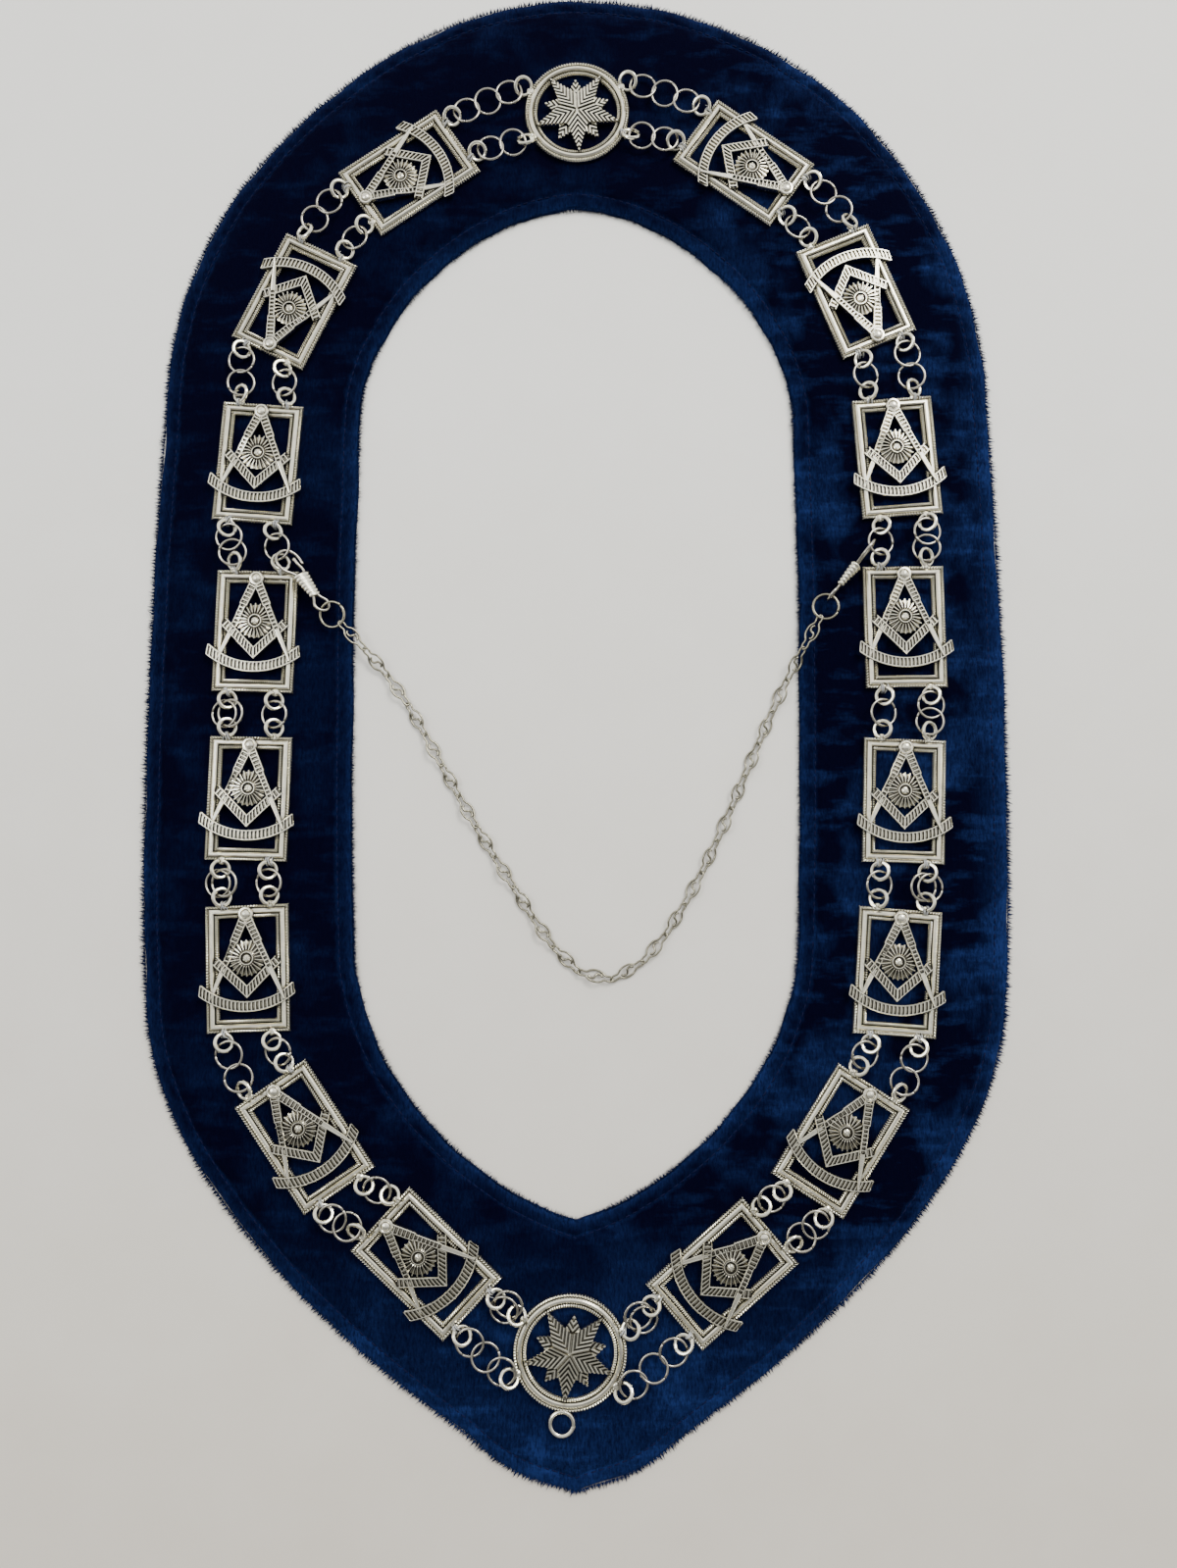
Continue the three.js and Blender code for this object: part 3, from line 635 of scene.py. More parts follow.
def compass_leg(body, hand, top, lower_top):
    """One leg from the rivet: a wide milled head, a narrower grooved part and a plain point."""
    down = math.radians(-90 + hand * LEG_SPREAD)
    along = polar(1, down)
    steps = round(LEG_LENGTH / TICK_PITCH * STEPS_PER_BEAD)
    stations = []
    for k in range(steps + 1):
        distance = LEG_LENGTH * k / steps
        half, sunk = leg_shape(distance)
        level = blend(top, lower_top, min(max((distance - LEG_DIP_START) / LEG_DIP_LENGTH, 0), 1))
        station = []
        for a, z in channel_section(half, level, sunk, LEG_RIM):
            x = distance * along[0] - a * along[1]
            y = RIVET_Y + distance * along[1] + a * along[0]
            station.append((x, y, z))
        stations.append(station)
    loft(body, stations)


def leg_shape(distance):
    """Half width of a leg and the depth of its channel."""
    if distance < LEG_STEP:
        return blend(*LEG_HEAD_HALVES, distance / LEG_STEP), tick_depth(distance)
    if distance < LEG_PLAIN:
        return LEG_GROOVED_HALF, tick_depth(distance)
    share = (distance - LEG_PLAIN) / (LEG_LENGTH - LEG_PLAIN)
    return blend(*LEG_POINT_HALVES, share ** 2), LEG_POINT_DEPTH


def set_square(body):
    """Two arms with rows of ticks, mitred at the corner."""
    half = SQUARE_WIDTH / 2
    steps = round(SQUARE_ARM / TICK_PITCH * STEPS_PER_BEAD)
    stations = []
    for k in range(-steps, steps + 1):
        share = abs(k) / steps
        hand = -1 if k < 0 else 1
        angle = math.radians(90 - hand * 45)
        along = polar(1, angle)
        section = channel_section(half, SQUARE_TOP, tick_depth(SQUARE_ARM * share))
        station = []
        for a, z in section:
            reach = blend(-a, SQUARE_ARM, share)
            x = reach * along[0] + hand * a * along[1]
            y = reach * along[1] - hand * a * along[0]
            station.append((x, SQUARE_CORNER_Y + y, z))
        stations.append(station)
    loft(body, stations)


def arc_band(body):
    """The measuring arc, with pointed ends that stand out past the frame."""
    steps = round(2 * math.radians(ARC_SPREAD) * ARC_RADIUS / TICK_PITCH * STEPS_PER_BEAD)
    stations = []
    for k in range(steps + 1):
        share = 2 * k / steps - 1
        distance = (share + 1) / 2 * steps / STEPS_PER_BEAD * TICK_PITCH
        section = channel_section(ARC_WIDTH / 2, ARC_TOP, tick_depth(distance))
        station = []
        for a, z in section:
            spread = ARC_SPREAD + ARC_TIP_REACH - abs(a / ARC_WIDTH + ARC_TIP_SKEW) * ARC_TIP_CUT
            x, y = polar(ARC_RADIUS + a, math.radians(-90 + share * spread))
            station.append((x, ARC_CENTRE_Y + y, z))
        stations.append(station)
    loft(body, stations)


def sun(body):
    """A rayed disc with a small plain face in its middle."""
    collar = SUN_FACE_RADIUS + SUN_COLLAR_WIDTH
    stations = []
    for k in range(4 * SUN_RAYS):
        angle = math.pi * (k // 2 + (SUN_RAY_LEAN if k % 2 else -SUN_RAY_LEAN)) / SUN_RAYS
        raised = k // 2 % 2
        ray = SUN_RAY_DEPTH if raised else 0
        reach = SUN_RADIUS - (0 if raised else SUN_GAP_DROP)
        section = [(CORE, RELIEF_FLOOR), (reach, RELIEF_FLOOR), (reach, 1.5 + ray * 0.8),
                   (collar + 0.7, 1.75 + ray), (collar, 2.2), (collar - 0.1, 2.6),
                   (collar - 0.35, 2.6), (SUN_FACE_RADIUS, 1.4), (CORE, 1.4)]
        stations.append(upright(section, angle, SUN_Y))
    loft(body, stations, closed=True)
    for part in FACE_PARTS:
        x, y, z = part["at"]
        for hand in part["hands"]:
            dome(body, (hand * x, SUN_Y + y, z), part["radii"], *part["mesh"])


def rivet(body):
    """The round head of the compass with its rivet."""
    angles = [math.tau * k / BOSS_SIDES for k in range(BOSS_SIDES)]
    loft(body, [upright(BOSS_PROFILE, angle, RIVET_Y) for angle in angles], closed=True)


def plate_body():
    body = Body()
    plate_frame(body)
    arc_band(body)
    set_square(body)
    sun(body)
    compass_leg(body, -1, LEG_TOP, LEG_UNDER_TOP)
    compass_leg(body, 1, LEG_TOP, LEG_OVER_TOP)
    rivet(body)
    return body


def medallion_rim(body):
    count = round(math.tau * MEDALLION_RADIUS / BEAD_PITCH) * STEPS_PER_BEAD
    stations = []
    for k in range(count):
        angle = math.tau * k / count

        def place(inward):
            return polar(MEDALLION_RADIUS - inward, angle)
        stations.append(bar_station(place, k / STEPS_PER_BEAD))
    loft(body, stations, closed=True)


def star(body, radius, notch_radius, first, base):
    """A star whose ribs run from each point's axis out to its edge."""
    notch = Vector(polar(notch_radius, math.radians(180 / STAR_POINTS)))
    rows = round(radius / RIB_PITCH) * len(RIB_PROFILE)
    for point in range(STAR_POINTS):
        turn = Matrix.Rotation(math.radians(first + 360 / STAR_POINTS * point), 2)
        for hand in (-1, 1):
            top = []
            for k in range(rows + 1):
                share = k / rows
                axis = Vector((radius * share, 0))
                sunk = RIB_DEPTH * RIB_PROFILE[k % len(RIB_PROFILE)]
                z = base + blend(*STAR_RIDGE, share) - sunk
                for spot in (axis, axis + notch * (1 - share)):
                    x, y = turn @ Vector((spot.x, hand * spot.y))
                    top.append((x, y, z))
            star_half(body, top)


def star_half(body, top):
    """A closed slab under half a star point, whose top is rows of an axis and an edge point."""
    low = [(x, y, RELIEF_FLOOR) for x, y, _ in top]
    under = len(top)
    last = under - 2
    faces = [(0, 1, under + 1, under), (last + 1, last, under + last, under + last + 1)]
    for a in range(0, last, 2):
        b = a + 2
        faces.append((a, b, b + 1, a + 1))
        faces.append((under + a, under + a + 1, under + b + 1, under + b))
        faces.append((a + 1, b + 1, under + b + 1, under + a + 1))
        faces.append((b, a, under + a, under + b))
    body.add(top + low, faces)


def medallion_body():
    body = Body()
    medallion_rim(body)
    star(body, SHORT_STAR_RADIUS, SHORT_STAR_NOTCH, 90, SHORT_STAR_TOP)
    star(body, STAR_RADIUS, STAR_NOTCH, -90, STAR_TOP)
    return body


def cast_eye(body, x, y, inward, heading, roll):
    """An eye that stands on the edge of a cast piece, with a small foot in the metal."""
    matrix = lay_matrix((x, y, EYE_HEIGHT, heading, roll))
    start = math.degrees(inward - heading) + (360 - EYE_SWEEP) / 2
    path = turned(flat_arc(EYE_RADIUS, start, EYE_SWEEP, EYE_STEPS), matrix)
    wire(body, path, EYE_WIRE / 2, EYE_SIDES)
    across, up = polar(EYE_RADIUS, inward)
    dome(body, (x + across, y + up, FOOT_HEIGHT), FOOT_RADII, *FOOT_MESH)


# Layout of the cast pieces and their eyes

def eye_spots(name):
    """Eye centres of a cast piece in its own frame, with the direction into the metal."""
    if name.endswith("medallion"):
        x, y = polar(MEDALLION_RADIUS + MEDALLION_EYE_REACH, math.radians(MEDALLION_EYE_ANGLE))
        spots = [(x, y), (-x, y), (x, -y), (-x, -y)]
        return [(px, py, math.atan2(-py, -px)) for px, py in spots]
    y = PLATE_LENGTH / 2 + EYE_REACH
    hands = [(1, 1), (-1, 1), (1, -1), (-1, -1)]
    return [(sx * EYE_SPREAD, sy * y, -sy * math.pi / 2) for sx, sy in hands]


class Cast:
    """A cast piece where it lies, with its eyes."""

    def __init__(self, name):
        x, y, turn = CAST_PLACES[name]
        self.centre = Vector((x * HALF_WIDTH, y * HALF_LENGTH))
        self.angle = math.radians(turn)
        self.medallion = name.endswith("medallion")
        self.eyes = []
        for ex, ey, inward in eye_spots(name):
            spot = Matrix.Rotation(self.angle, 2) @ Vector((ex, ey)) + self.centre
            self.eyes.append({"at": (ex, ey), "inward": inward, "spot": spot, "lie": (0, 0)})

    def matrix(self):
        return Matrix.Translation((*self.centre, PLATE_FLOOR)) @ Matrix.Rotation(self.angle, 4, "Z")

    def facing(self, neighbour):
        """The two eyes towards a neighbour, the one farther from the neck's middle first."""
        middle = Vector((0, NECK_MIDDLE_Y))
        near = sorted(self.eyes, key=lambda eye: (eye["spot"] - neighbour.centre).length)[:2]
        return sorted(near, key=lambda eye: -(eye["spot"] - middle).length)

    def lay_eye(self, eye, target, roll):
        away = target - eye["spot"]
        eye["lie"] = (math.atan2(away.y, away.x) - self.angle, roll)


def flat_rings(pair, eyes, count, hand):
    """One ring, or two side by side, through both eyes."""
    start, end = eyes[0]["spot"], eyes[1]["spot"]
    along = end - start
    heading = math.atan2(along.y, along.x)
    middle = (start + end) / 2
    pair[0].lay_eye(eyes[0], end, hand * FLAT_EYE_ROLL)
    pair[1].lay_eye(eyes[1], start, -hand * FLAT_EYE_ROLL)
    slope = math.tan(math.radians(-hand * FLAT_ROLL))
    rings = []
    for k in range(count):
        off = 0 if count == 1 else 2 * k - 1
        x = middle.x - off * PAIR_SPREAD * math.sin(heading)
        y = middle.y + off * PAIR_SPREAD * math.cos(heading)
        z = LINK_LEVEL + off * (PAIR_SPREAD * slope + PAIR_STACK)
        rings.append((x, y, z, heading, -hand * FLAT_ROLL))
    return rings


def series_rings(pair, eyes, count, hand):
    """Rings one after another, each rolled the other way."""
    start, end = eyes[0]["spot"], eyes[1]["spot"]
    span = (end - start).length
    pitch = min(RING_TAUT, (span - 2 * SHORTEST_REACH) / (count - 1))
    reach = (span - pitch * (count - 1)) / 2
    along = (end - start) / span
    heading = math.atan2(along.y, along.x)
    pair[0].lay_eye(eyes[0], end, hand * SERIES_EYE_ROLL)
    pair[1].lay_eye(eyes[1], start, (hand if count % 2 == 0 else -hand) * SERIES_EYE_ROLL)
    rings = []
    for k in range(count):
        place = start + along * (reach + pitch * k)
        roll = (-hand if k % 2 == 0 else hand) * SERIES_ROLL
        rings.append((place.x, place.y, LINK_LEVEL, heading, roll))
    return rings


def string_rings(pair, eyes, count, hand):
    span = (eyes[1]["spot"] - eyes[0]["spot"]).length
    if count < 3 and span <= 2 * LONGEST_REACH:
        return flat_rings(pair, eyes, count, hand)
    rings = max(count, 2)
    while span > 2 * LONGEST_REACH + (rings - 1) * RING_TAUT:
        rings += 1
    return series_rings(pair, eyes, rings, hand)


def roll_hand(side, cast, eyes):
    if not cast.medallion:
        return -1 if side == "left" else 1
    along = eyes[1]["spot"] - eyes[0]["spot"]
    inward = cast.centre - eyes[0]["spot"]
    return -math.copysign(1, along.x * inward.y - along.y * inward.x)


def side_strings(side, casts):
    """The strings of jump rings down one side, by node name."""
    names = [f"plate_{side}_{k + 1}" for k in range(PLATES_PER_SIDE)]
    row = [casts["top_medallion"], *[casts[name] for name in names], casts["bottom_medallion"]]
    found = {}
    for gap in range(PLATES_PER_SIDE + 1):
        pair = [row[gap], row[gap + 1]]
        counts = RING_COUNTS["medallion" if gap in (0, PLATES_PER_SIDE) else "plates"]
        if gap == PLATES_PER_SIDE:
            pair.reverse()
        starts = pair[0].facing(pair[1])
        ends = pair[1].facing(pair[0])
        for k, (where, count) in enumerate(counts.items()):
            eyes = (starts[k], ends[k])
            hand = roll_hand(side, pair[0], eyes)
            found[f"links_{side}_{gap}_{where}"] = string_rings(pair, eyes, count, hand)
    return found


# Materials

class Shading:
    """The nodes of a material or of the world."""

    def __init__(self, owner, space="Object"):
        owner.use_nodes = True
        self.nodes = owner.node_tree.nodes
        self.links = owner.node_tree.links
        self.coords = self.nodes.new("ShaderNodeTexCoord").outputs[space]

    def feed(self, socket, value):
        """Links an output to a socket, or sets a uniform value on it."""
        if isinstance(value, bpy.types.NodeSocket):
            self.links.new(value, socket)
        else:
            socket.default_value = value

    def fed(self, kind, inputs, **settings):
        """A new node with its settings and its sockets filled."""
        made = self.nodes.new(kind)
        for key, value in settings.items():
            setattr(made, key, value)
        for key, value in inputs.items():
            self.feed(made.inputs[key], value)
        return made

    def split(self):
        return self.fed("ShaderNodeSeparateXYZ", {"Vector": self.coords}).outputs

    def noise(self, scale, detail=4, roughness=0.6):
        """Noise on scaled coordinates, where scale is a number or one for each axis."""
        axes = scale if isinstance(scale, tuple) else (scale,) * 3
        mapped = self.fed("ShaderNodeMapping", {"Vector": self.coords, "Scale": axes})
        inputs = {"Vector": mapped.outputs["Vector"], "Scale": 1, "Detail": detail,
                  "Roughness": roughness}
        return self.fed("ShaderNodeTexNoise", inputs).outputs["Fac"]

    def ranged(self, value, low, high, to_low, to_high):
        """A value brought from one range to another."""
        inputs = {"Value": value, "From Min": low, "From Max": high, "To Min": to_low,
                  "To Max": to_high}
        return self.fed("ShaderNodeMapRange", inputs).outputs["Result"]

    def combine(self, operation, first, second):
        return self.fed("ShaderNodeMath", {0: first, 1: second}, operation=operation).outputs["Value"]

    def mixed(self, share, first, second):
        """A colour between two, by a share."""
        inputs = {"Factor": share, 6: (*first, 1), 7: (*second, 1)}
        return self.fed("ShaderNodeMix", inputs, data_type="RGBA").outputs[2]

    def bump(self, height, strength, distance, below=None):
        """The normal of a bump, on top of another one if it is given."""
        inputs = {"Height": height, "Strength": strength, "Distance": distance}
        if below is not None:
            inputs["Normal"] = below
        return self.fed("ShaderNodeBump", inputs).outputs["Normal"]

    def surface(self, inputs):
        for key, value in inputs.items():
            self.feed(self.nodes["Principled BSDF"].inputs[key], value)


def new_material(name):
    material = bpy.data.materials.new(name)
    return material, Shading(material)


def metal_material(name):
    """Silver-coloured plating, brighter on its ridges, with shade painted dark into its recesses and
    faint random stains.
    """
    material, graph = new_material(name)
    look = METALS[name]
    # Painted shade: ambient occlusion darkens the base colour in the recesses
    shade = graph.fed("ShaderNodeAmbientOcclusion", {"Distance": RECESS_REACH}, samples=RECESS_SAMPLES)
    open_share = graph.ranged(shade.outputs["AO"], 0.32, 0.8, 0, 1)
    stain = graph.ranged(graph.noise(260, 5), 0.35, 0.65, 0.85, 1)
    # Share of the bright colour: less where shade is painted, and lowered a little by random stains
    ridge = graph.combine("MULTIPLY", open_share, stain)
    fine = graph.noise(1500, 3)
    graph.surface({
        "Metallic": 1,
        "Base Color": graph.mixed(ridge, look["dark"], look["bright"]),
        "Roughness": graph.ranged(fine, 0.3, 0.7, *look["rough"]),
        "Normal": graph.bump(fine, look["grain"], 0.0001),
    })
    return material


def velvet_material():
    """Deep navy pile with sheen painted lighter in soft patches, on the right side, its rim, the tip
    and the low edges.
    """
    material, graph = new_material("navy_velvet")
    place = graph.split()
    # Painted sheen: masks for the right side, its outer rim, the tip and the low pile at the edges,
    # broken up by clouds, crushed patches and streaks
    mask = {name: graph.ranged(place[axis], *span) for name, (axis, *span) in VELVET_SHEEN_MASKS.items()}
    cloud = graph.ranged(graph.noise(CLOUD_SCALE), 0.5, 0.6, 0, 0.46)
    crushed_sheen = graph.ranged(graph.noise(CRUSHED_SHEEN_SCALE), 0.5, 0.66, 0, 0.5)
    sides = graph.combine("MAXIMUM", mask["east"], mask["south"])
    sheen_marks = graph.combine("MULTIPLY", sides, graph.combine("ADD", cloud, crushed_sheen))
    tip = graph.combine("MULTIPLY", mask["south"], TIP_SHEEN)
    rims = graph.combine("MAXIMUM", mask["brim"], tip)
    patch = graph.combine("ADD", mask["edge"], graph.combine("ADD", sheen_marks, rims))
    streak = graph.noise(STREAK_SCALE, 4, 0.7)
    lights = graph.combine("MULTIPLY", patch, graph.ranged(streak, 0.3, 0.7, 0.3, 1.7))
    graph.surface({
        "Base Color": graph.mixed(lights, VELVET_DARK, VELVET_PAINTED_SHEEN),
        "Roughness": 0.95,
        "Specular IOR Level": 0.02,
        "Sheen Weight": 0.03,
        "Sheen Roughness": 0.35,
        "Sheen Tint": (0.25, 0.42, 1, 1),
        "Normal": graph.bump(graph.noise(TUFT_SCALE, 2), 0.5, 0.0003, graph.bump(streak, 0.5, 0.0006)),
    })
    return material


def thread_material(name):
    """Twisted sewing thread."""
    material, graph = new_material(name)
    look = THREADS[name]
    fibres = graph.noise((2500, 2500, 5000), 3)
    graph.surface({
        "Base Color": graph.mixed(fibres, look["shadow"], look["light"]),
        "Roughness": 0.6,
        "Specular IOR Level": 0.1,
        "Transmission Weight": look["translucent"],
        "Normal": graph.bump(fibres, 0.5, 0.0001),
    })
    return material


def floor_material():
    """Pale paper with the window's light painted on it: lighter towards the window, darker near."""
    material, graph = new_material("pale_floor")
    # Painted light: the paper grows lighter along Y towards the window
    far = graph.ranged(graph.split()["Y"], -0.3, 0.12, 0, 1)
    mottle = graph.ranged(graph.noise(30, 6), 0.3, 0.7, -0.06, 0.06)
    graph.surface({
        "Base Color": graph.mixed(graph.combine("ADD", far, mottle), FLOOR_NEAR, FLOOR_FAR),
        "Roughness": 0.7,
        "Specular IOR Level": 0.25,
        "Normal": graph.bump(graph.noise(180), 0.05, 0.0005),
    })
    return material


# Velvet band

def bezier(points, t):
    u = 1 - t
    weights = (u ** 3, 3 * u * u * t, 3 * u * t * t, t ** 3)
    return sum((Vector(p) * w for p, w in zip(points, weights)), Vector((0, 0)))


def scaled(table, half_width, half_length, middle_y=0):
    """Points of a table of shares, in millimetres."""
    return [(x * half_width, middle_y + y * half_length) for x, y in table]


def outer_curves():
    """The right half of the outer edge, part by part."""
    side = scaled([OUTER_CROWN, *OUTER_SIDE], HALF_WIDTH, HALF_LENGTH)
    front = [side[-1], *scaled(OUTER_FRONT, HALF_WIDTH, HALF_LENGTH)]
    x, y = side[0]

    def crown(t):
        angle = math.pi / 2 * (1 - t)
        return Vector((x * math.cos(angle), y + (HALF_LENGTH - y) * math.sin(angle)))
    return {"crown": crown, "side": partial(bezier, side), "front": partial(bezier, front)}


def neck_curves():
    """The right half of the neck's edge, part by part."""
    points = scaled([(0, 1), *NECK_CROWN, *NECK_SIDE, *NECK_FRONT],
                    NECK_WIDTH / 2, NECK_LENGTH / 2, NECK_MIDDLE_Y)
    return {name: partial(bezier, points[3 * k:3 * k + 4]) for k, name in enumerate(BAND_STEPS)}


def band_pairs():
    """Pairs of points across the band, all the way round."""
    outer = outer_curves()
    neck = neck_curves()
    right = []
    for name, steps in BAND_STEPS.items():
        right.extend((outer[name](k / steps), neck[name](k / steps)) for k in range(steps))
    right.append((outer["front"](1), neck["front"](1)))
    left = [tuple(Vector((-p.x, p.y)) for p in pair) for pair in reversed(right[1:-1])]
    return [(eased(edge), lowered(neck_point)) for edge, neck_point in right + left]


def lowered(point):
    """The neck's edge as it lies: a little lower at its crest."""
    if point.y < NECK_MIDDLE_Y:
        return point
    return point - Vector((0, NECK_CREST_DROP * math.exp(-(point.x / NECK_CREST_REACH) ** 2)))


def eased(point):
    """The outer edge as it lies: drawn in at the left of the crown, and blunt at the tip."""
    x, y = LEFT_CROWN["middle"]
    near = math.exp(-((point.x - x) ** 2 + (point.y - y) ** 2) / LEFT_CROWN["reach"] ** 2)
    shift = Vector(LEFT_CROWN["shift"]) * near
    spread = TIP_SPREAD * math.exp(-((point.y + HALF_LENGTH - TIP_SPREAD_RISE) / TIP_SPREAD_RISE) ** 2)
    lift = TIP_LIFT * math.exp(-(point.x / TIP_SPREAD_RISE) ** 2) if point.y < 0 else 0
    return point + shift + Vector((spread * math.tanh(point.x / TIP_SPREAD_RISE), lift))


def wobble(angle, seed, waves):
    """A smooth closed wobble between about -1 and 1."""
    chance = random.Random(seed)
    total = 0
    for wave in waves:
        total += math.sin(wave * angle + chance.uniform(0, math.tau)) / len(waves) ** 0.5
    return total


def band_section(pair, angle):
    """Points across the band: up over the pile, down, and back along the flat underside."""
    outer, neck = pair
    across = (neck - outer) / (outer - neck).length
    outer = outer - across * EDGE_WOBBLE * wobble(angle, **OUTER_WOBBLE)
    neck = neck + across * EDGE_WOBBLE * wobble(angle, **NECK_WOBBLE)
    width = (outer - neck).length
    outer_side = [(d / width, z) for d, z in EDGE_HEIGHTS]
    middle = [(share, VELVET_THICK) for share in CREST_SHARES]
    neck_side = [(1 - d / width, z) for d, z in reversed(EDGE_HEIGHTS)]
    points = []
    for share, z in outer_side + middle + neck_side:
        spot = blend(outer, neck, share)
        edge = min(share, 1 - share) * width
        points.append((spot.x, spot.y, pile_height(spot.x, spot.y, edge, z)))
    for share in BACK_SHARES:
        spot = blend(outer, neck, share)
        points.append((spot.x, spot.y, 0))
    return points


def pile_height(x, y, edge, z):
    """Height of the pile, with a soft ripple and the seam's pucker."""
    bend = RIPPLE_BEND * math.sin(y / RIPPLE_BEND_LENGTH)
    ripple = RIPPLE_HEIGHT * math.sin(x / RIPPLE_LENGTHS[0] + bend) * math.sin(y / RIPPLE_LENGTHS[1])
    near_seam = PUCKER_BAND[0] < edge < PUCKER_BAND[1]
    turns = y / PUCKER_LENGTHS[1] + x / PUCKER_LENGTHS[0]
    pucker = PUCKER_HEIGHT * math.sin(turns) if near_seam else 0
    ease = max(0, z - CREST_EASE_START) * CREST_EASE
    return max(z + ripple * min(edge / RIPPLE_FADE, 1) + pucker - ease, LOWEST_PILE)


def velvet_band(pairs, material):
    body = Body()
    stations = [band_section(pair, math.tau * k / len(pairs)) for k, pair in enumerate(pairs)]
    loft(body, stations, closed=True)
    return piece("velvet_band", body, material, ["velvet_collar"])


def band_line(pairs, inset, from_neck):
    """Points round the band at a distance in from one of its edges."""
    found = []
    for outer, neck in pairs:
        near, far = (neck, outer) if from_neck else (outer, neck)
        found.append(near + (far - near).normalized() * inset)
    return found


def closed_even(points, pitch):
    """Points at equal steps round a closed line, with the direction along it."""
    loop = [*points, points[0]]
    lengths = running_lengths(loop)
    count = round(lengths[-1] / pitch)
    found = []
    for k in range(count):
        s = lengths[-1] * k / count
        here = at_length(loop, lengths, s)
        found.append((here, (at_length(loop, lengths, s + DIRECTION_STEP) - here).normalized()))
    return found


def edge_pile(pairs, material):
    """Short fibres and tufts that stand out all along the cut edges."""
    body = Body()
    chance = random.Random(SEED)
    for from_neck in (False, True):
        for root in pile_roots(pairs, FIBRE_PITCH, from_neck):
            fibre(body, chance, *root)
        for spot, out, along in pile_roots(pairs, TUFT_PITCH, from_neck):
            tuft(body, chance, spot, out * (NECK_TUFT_SHARE if from_neck else 1), along)
    return piece("edge_pile", body, material)


def pile_roots(pairs, pitch, from_neck):
    """Points along an edge, with the directions out of the velvet and along the edge."""
    centre = Vector((0, NECK_MIDDLE_Y))
    for spot, along in closed_even(band_line(pairs, PILE_INSET, from_neck), pitch):
        out = Vector((along.y, -along.x))
        if (out.dot(spot - centre) > 0) == from_neck:
            out = -out
        yield spot, out, along


def spike(body, root, side, up, tip):
    """A thin closed spike on three points round its root."""
    body.add([tuple(root - side), tuple(root + side), tuple(root + up), tuple(tip)],
             [(0, 1, 2), (0, 3, 1), (1, 3, 2), (2, 3, 0)])


def tuft(body, chance, spot, out, along):
    """A few fibres that cling together and stand out like a tooth of a comb."""
    length = chance.uniform(*TUFT["length"])
    way = out + along * chance.gauss(*TUFT["lean"])
    root = Vector((spot.x, spot.y, chance.uniform(*TUFT["root"])))
    tip = root + Vector((way.x, way.y, -TUFT_FALL)) * length
    side = Vector((along.x, along.y, 0)) * chance.uniform(*TUFT["half"])
    spike(body, root, side, Vector((0, 0, TUFT_THICK)), tip)


def fibre(body, chance, spot, out, along):
    """One fibre of the pile."""
    way = (out + along * chance.gauss(*FIBRE["lean"])).normalized()
    wave = math.prod(math.sin(spot.x * a + spot.y * b) for a, b in CLUMP_WAVES)
    length = chance.uniform(*FIBRE["length"]) * (1 + FIBRE_CLUMP * wave)
    root = Vector((spot.x, spot.y, chance.uniform(*FIBRE["root"])))
    tip = root + Vector((way.x * length, way.y * length, chance.uniform(*FIBRE["rise"])))
    tip.z = max(tip.z, FIBRE_HALF)
    side = Vector((along.x, along.y, 0)) * FIBRE_HALF
    spike(body, root, side, Vector((0, 0, FIBRE_HALF)), tip)


def seam_stitches(pairs, material):
    """Machine stitches sunk in the seam line along both edges."""
    body = Body()
    for from_neck in (False, True):
        for spot, along in closed_even(band_line(pairs, SEAM_INSET, from_neck), STITCH_PITCH):
            points = []
            for share, z in STITCH_ARCH:
                reach = share * STITCH_HALF
                points.append((spot.x + along.x * reach, spot.y + along.y * reach, z))
            wire(body, points, STITCH_RADIUS, 6)
    return piece("seam_stitches", body, material)


# Links, clasps and chain

def ring_string(name, rings, material):
    body = Body()
    chance = random.Random(name)
    for place in rings:
        cut = chance.choice(RING_CUT_TURNS) + chance.uniform(-RING_CUT_SPREAD, RING_CUT_SPREAD)
        path = flat_arc(RING_RADIUS, cut + RING_CUT / 2, 360 - RING_CUT, RING_STEPS)
        wire(body, turned(path, lay_matrix(place)), RING_WIRE / 2, 8)
    return piece(f"{name}_rings", body, material, [name])


def clasp_matrix(side, strings):
    place = CLASP_PLACES[side]
    ring = strings[f"links_{side}_{place['gap']}_inner"][0]
    angle = math.radians(place["heading"])
    along = Vector((*polar(1, angle), 0))
    across = Vector((-along.y, along.x, 0))
    spot = Vector((ring[0], ring[1], LINK_LEVEL + place["lift"]))
    spot += along * place["hold"] + across * place["shift"]
    return lay_matrix((*spot, angle, place["roll"]))


def clasp_wire(side, matrix, material):
    points = [(along * CLASP_LENGTH, across * CLASP_LENGTH, 0) for along, across in CLASP_ROUTE]
    body = Body()
    wire(body, turned(spline(points, 150), matrix), CLASP_WIRE / 2, 10)
    return piece(f"clasp_hook_{side}", body, material, [f"clasp_wire_{side}"])


def groove(turns):
    """Depth of rounded grooves along a sleeve, from 0 on a rib to 1 between two."""
    return (0.5 + 0.5 * math.cos(math.tau * turns)) ** 2


